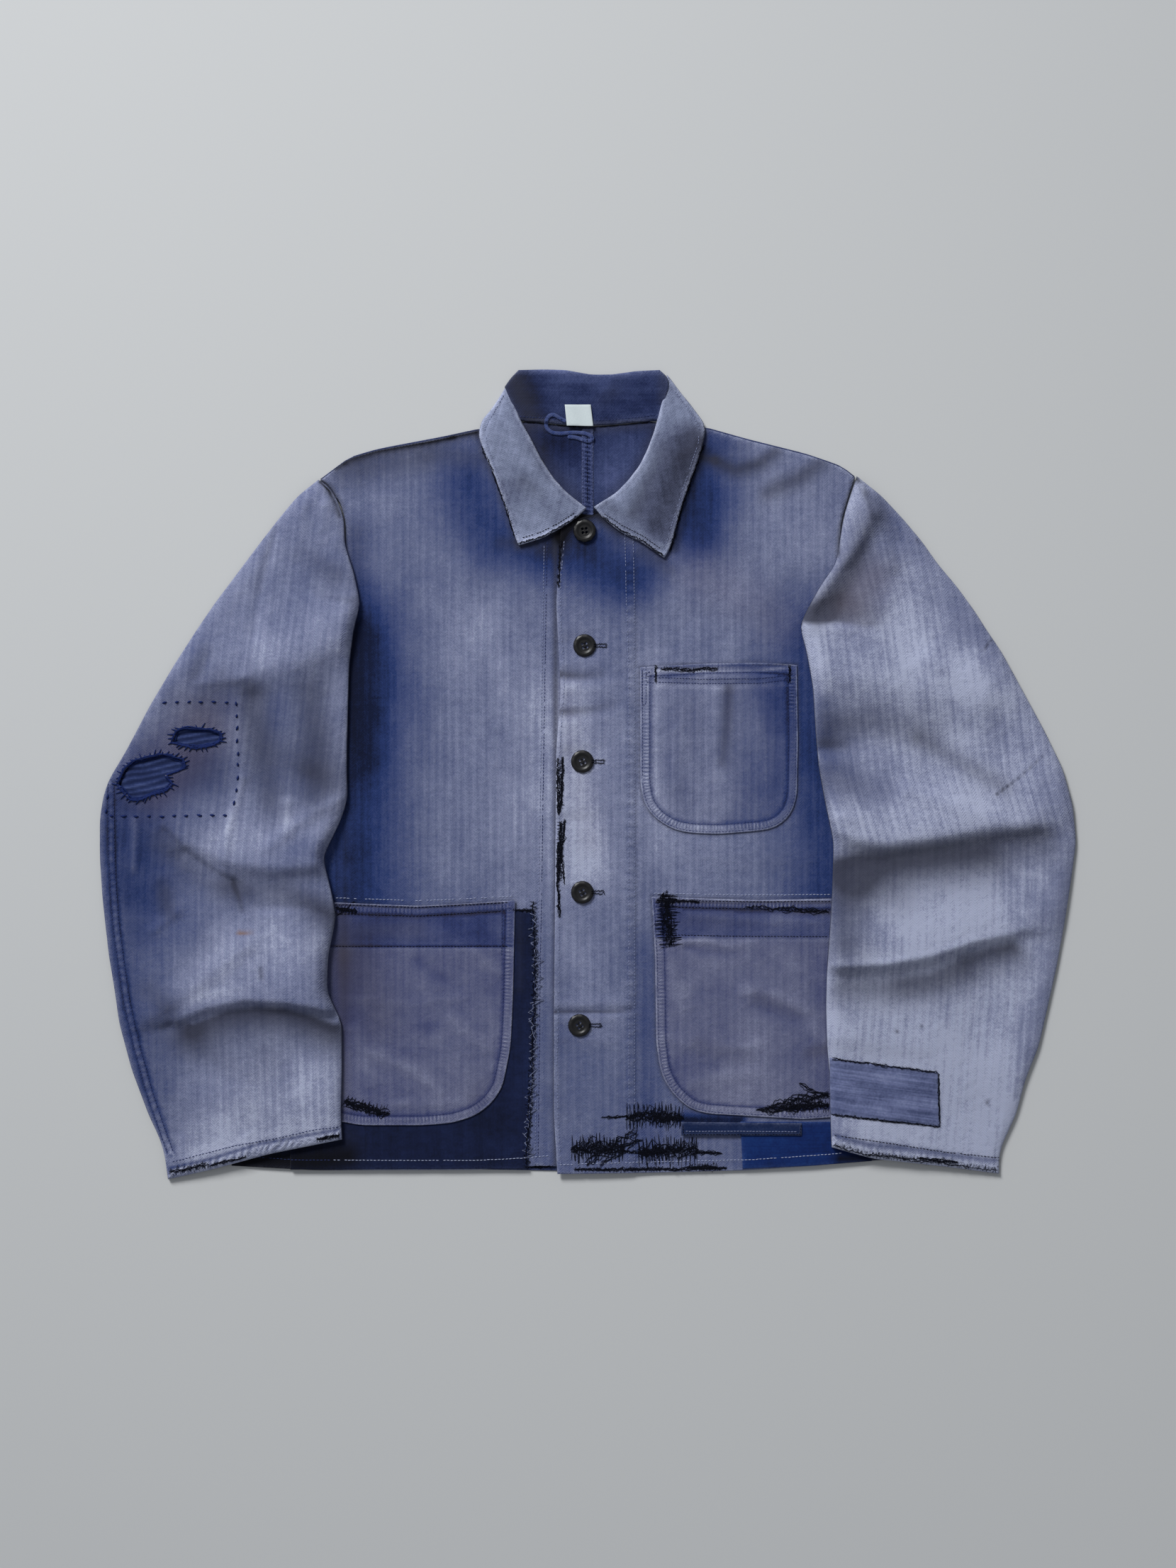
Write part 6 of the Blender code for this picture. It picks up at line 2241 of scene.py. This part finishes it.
# Mostly painted shade in the left sleeve's fold by the shoulder and under its other folds, with a few small stains.
SOILING_AND_SHADE_LEFT = strokes(
    ((248, 222, 240, 198, 228, 174, 214, 152, 204, 140), 15, 13, 0.4, 0.68),
    ((194, 135, 218, 136, 246, 132), 20, 3.4, 0.75, 0.45), ((256, 180, 236, 154), 18, 14, 0.34, 0.3),
    ((244, 246, 250, 224), 3.5, 3.5, 0.45, 0.3), ((256, 240, 272, 206), 6, 6, 0.3, 0.12),
    ((206, 26, 224, 25), 8, 4, 0.5, 0.25), ((212, 42, 250, 46, 300, 38), 18, 18, 0.54, 0.32),
    ((210, -4, 250, -14), 18, 16, 0.36, 0.14), ((290, 30, 330, 8, 366, -12), 9, 9, 0.34, 0.4),
    ((222, -80, 250, -74, 300, -67, 350, -59, 394, -52), 10, 26, 0.78, 0.66),
    ((250, -88, 300, -82, 350, -74), 14, 26, 0.26, 0.34), ((228, -90, 226, -150), 22, 22, 0.42, 0.55),
    ((246, -104, 270, -110), 16, 20, 0.2, 0.2),
    ((226, -186, 262, -186, 300, -180, 330, -168, 372, -154), 9, 20, 0.55, 0.6),
    ((280, -186, 330, -176), 14, 18, 0.2, 0.2), ((330, -160, 372, -150), 4, 9, 0.3, 0.3),
    ((212, -238, 260, -242, 300, -246), 7, 7, 0.14, 0.1), ((270, -225, 270.5, -226), 1.4, 1.4, 0.8, 0.8),
    ((292, -221, 292.5, -222), 1.4, 1.4, 0.6, 0.6), ((351, -287, 351, -290), 1.3, 1.5, 0.7, 0.7),
    ((289, 206, 291, 202), 1.3, 1.3, 0.7, 0.7), ((358, -18, 376, -5, 400, 16), 0.9, 0.9, 0.7, 0.4),
    ((346, 108, 357, 120), 0.9, 0.9, 0.8, 0.6)
)
SMEARS_LEFT = strokes(((250, 170, 236, 150), 20, 20, 0.1, 0.1))
SHADE_RIGHT = strokes(
    ((-236, 257, -231.5, 253.5, -227.5, 248.5, -223.6, 241.5, -220, 234, -218, 226), 1.5, 1.2, 0.85, 0.6),
    ((-230, 252, -227, 246), 2.6, 2.6, 0.4, 0.3)
)
SHADE_LEFT = strokes(
    ((235, 260, 226, 234, 221, 212, 220, 192), 1.3, 1.3, 0.75, 0.6),
    ((236, 260, 241, 250), 2.5, 2.5, 0.8, 0.4)
)
# Each pocket's fading and soiling tables also hold painted shade: along its mouth, in its creases and beside the
# sleeve next to it.
POCKETS = (
    Pocket(
        "pocket_chest", 94, None, 0.55,
        strokes(
            ((176, 88, 178, -10), 34, 34, -0.3, -0.2), ((58, 84, 58, 0, 64, -30), 9, 9, 0.16, 0.2),
            ((86, 70, 100, 0, 90, -40), 34, 30, 0.06, 0.16), ((62, 95.5, 178, 96), 2.0, 1.4, -0.25, -0.25),
            ((60, 91.2, 86, 90, 113, 90, 150, 90.5, 176, 94), 1.3, 1.3, 0.3, 0.3),
            ((62, 77.5, 120, 76, 176, 79), 2.5, 2.5, 0.14, 0.14)
        ),
        strokes(
            ((60, 94.6, 86, 93.6, 113, 93.4, 150, 94, 178, 97.5), 1.2, 0.9, 0.22, 0.22),
            ((124, 76, 122, 40, 118, 10), 4.0, 4.0, 0.4, 0.24), ((90, 60, 80, -20), 14, 14, 0.08, 0.06),
            ((124, 72, 122, 10), 7, 7, 0.2, 0.14)
        ),
        strokes(
            ((123, 74, 121, 40, 118, 6), 3.5, 3.5, -0.7, -0.4), ((112, 70, 110, 30), 5, 5, 0.5, 0.3),
            ((80, 40, 76, -10), 5, 5, 0.4, 0.4), ((150, 50, 158, 0), 6, 6, 0.4, 0.3),
            ((62, 85, 178, 86), 2.4, 2.4, 0.5, 0.5)
        ),
        "front_left", rubbed=0.02
    ),
    Pocket(
        "pocket_right", -111, -151.5, 0.47,
        strokes(
            ((-215, -150, -210, -220), 26, 26, -0.14, -0.1), ((-130, -190, -120, -280), 40, 30, 0.04, 0.1),
            ((-222, -128, -70, -128), 12, 14, -0.06, -0.04),
            ((-222, -112, -150, -115.2, -70, -111), 1.3, 1.3, 0.3, 0.3),
            ((-90, -142, -120, -135), 8, 8, -0.06, -0.06), ((-150, -220, -90, -222), 2, 4, -0.1, -0.05),
            ((-80, -296, -100, -300), 10, 8, -0.08, -0.08)
        ),
        strokes(
            ((-216, -125, -216, -300), 8, 8, 0.5, 0.3),
            ((-222, -114.6, -150, -117.6, -76, -113), 1.2, 1.2, 0.75, 0.6),
            ((-222, -122.8, -150, -125.5, -76, -120.5), 1.2, 1.6, 0.6, 0.5),
            ((-100, -285, -84, -270), 9, 9, 0.16, 0.1), ((-200, -136, -150, -136), 9, 9, 0.3, 0.25),
            ((-206, -160, -188, -215), 24, 24, 0.42, 0.3)
        ),
        strokes(
            ((-215, -198, -150, -202, -108, -197), 4, 4, 0.4, 0.3),
            ((-190, -245, -150, -262, -130, -280), 5, 5, 0.8, 0.6),
            ((-120, -215, -90, -240), 6, 6, 0.6, 0.6), ((-205, -225, -190, -270), 6, 6, 0.6, 0.6),
            ((-100, -156, -78, -176), 4, 4, 0.7, 0.4), ((-150, -163, -120, -186), 5, 5, -0.6, -0.6),
            ((-170, -290, -110, -288), 4, 5, 0.7, 0.5),
            ((-205, -136, -150, -141, -100, -135), 4, 4, 0.3, 0.3)
        ),
        "patch_front_navy"
    ),
    Pocket(
        "pocket_left", -108, -143, 0.53,
        strokes(
            ((120, -190, 150, -280), 40, 30, 0.04, 0.14),
            ((75, -122, 140, -128, 200, -130), 10, 12, -0.06, -0.02),
            ((212, -150, 212, -280), 16, 16, -0.06, -0.06),
            ((60, -110.2, 140, -111.2, 214, -110.8), 1.2, 1.2, 0.3, 0.3),
            ((150, -196, 180, -208), 6, 9, -0.12, -0.08), ((100, -240, 130, -246), 7, 9, -0.1, -0.06)
        ),
        strokes(
            ((60, -112.4, 140, -113.4, 214, -113), 1.2, 1.2, 0.75, 0.75),
            ((120, -118.5, 170, -120, 214, -121.5), 1.8, 2.6, 0.5, 0.85),
            ((62, -117, 120, -118), 1.2, 1.2, 0.4, 0.5), ((80, -128, 140, -130), 9, 9, 0.15, 0.1),
            ((148, -194, 180, -206), 5, 8, 0.2, 0.12), ((96, -236, 140, -246), 5, 9, 0.2, 0.1),
            ((196, -244, 214, -240), 5, 8, 0.3, 0.4)
        ),
        strokes(
            ((80, -148, 104, -146, 124, -151, 148, -147), 2.6, 3.4, 0.9, 0.5),
            ((88, -153, 120, -158), 4, 4, -0.6, -0.4), ((140, -190, 165, -196, 192, -207), 6, 8, 1.0, 0.7),
            ((150, -206, 190, -218), 6, 6, -0.6, -0.5), ((66, -232, 110, -243, 150, -238), 6, 6, 0.7, 0.6),
            ((70, -160, 82, -205), 6, 6, 0.5, 0.5), ((196, -222, 214, -240), 5, 5, 0.8, 0.8),
            ((90, -272, 150, -262), 6, 6, 0.6, 0.5), ((90, -124, 140, -128, 200, -130), 4, 5, 0.7, 0.6)
        ),
        "front_left"
    )
)
WARP_RIGHT = ((-262, 260), (-275, 150), (-292, 0), (-300, -100), (-298, -200), (-294, -360))
WARP_LEFT = ((252, 262), (275, 150), (292, 0), (308, -60), (304, -200), (292, -360))


def main() -> None:
    """Loads the frame, builds each part of the jacket and writes its size."""
    logging.basicConfig(level=logging.INFO, format="%(message)s")
    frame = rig.load()
    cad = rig.bounds()
    Studio().make()
    wardrobe = Wardrobe()
    body = Body(frame, wardrobe)
    pieces = body.make()
    pieces += Patches(frame, wardrobe).make(body)
    pieces += [pocket.make(body) for pocket in POCKETS]
    right = Sleeve(
        side="right", frame=frame, wardrobe=wardrobe, folds=FOLDS_RIGHT, fading=FADING_AND_SHADING_RIGHT,
        soiling=SOILING_AND_SHADE_RIGHT, smears=SMEARS_RIGHT, shade=SHADE_RIGHT, grain_line=WARP_RIGHT,
        cuff=(
            -216, -321, -234, -324, -254, -328, -287, -334, -309, -341, -331, -348, -350, -352, -370, -357
        ),
        seam=(
            -423, -8, -422.5, -40, -422, -73, -420.5, -105, -418, -135, -413, -170, -408.5, -200, -400,
            -240, -389, -280, -376, -318, -370, -334
        ),
        base=0.68, rests_on=("front_right", "back_right")
    )
    left = Sleeve(
        side="left", frame=frame, wardrobe=wardrobe, folds=FOLDS_LEFT, fading=FADING_AND_SHADING_LEFT,
        soiling=SOILING_AND_SHADE_LEFT, smears=SMEARS_LEFT, shade=SHADE_LEFT, grain_line=WARP_LEFT,
        cuff=(214, -328, 226, -332, 246, -337, 270, -339, 298, -343, 322, -347, 344, -350, 363, -352),
        seam=(), base=0.92, rests_on=("front_left", "back_left"), hem=11.5
    )
    pieces += right.make() + left.make()
    pieces += Collar(frame, wardrobe).make()
    land = Land()
    for piece in pieces:
        land.take(piece)
    trim = NeckTrim(frame, wardrobe).make(land)
    buttons = Buttons(frame, wardrobe)
    for piece in trim + buttons.make():
        land.take(piece)
    Sewing(wardrobe).make(land, POCKETS, (right, left), buttons)
    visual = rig.bounds()
    sizes = {"cad": [list(corner) for corner in cad], "visual": [list(corner) for corner in visual]}
    with open("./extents.json", "w", encoding="utf-8") as out:
        json.dump(sizes, out)


if __name__ == "__main__":
    main()
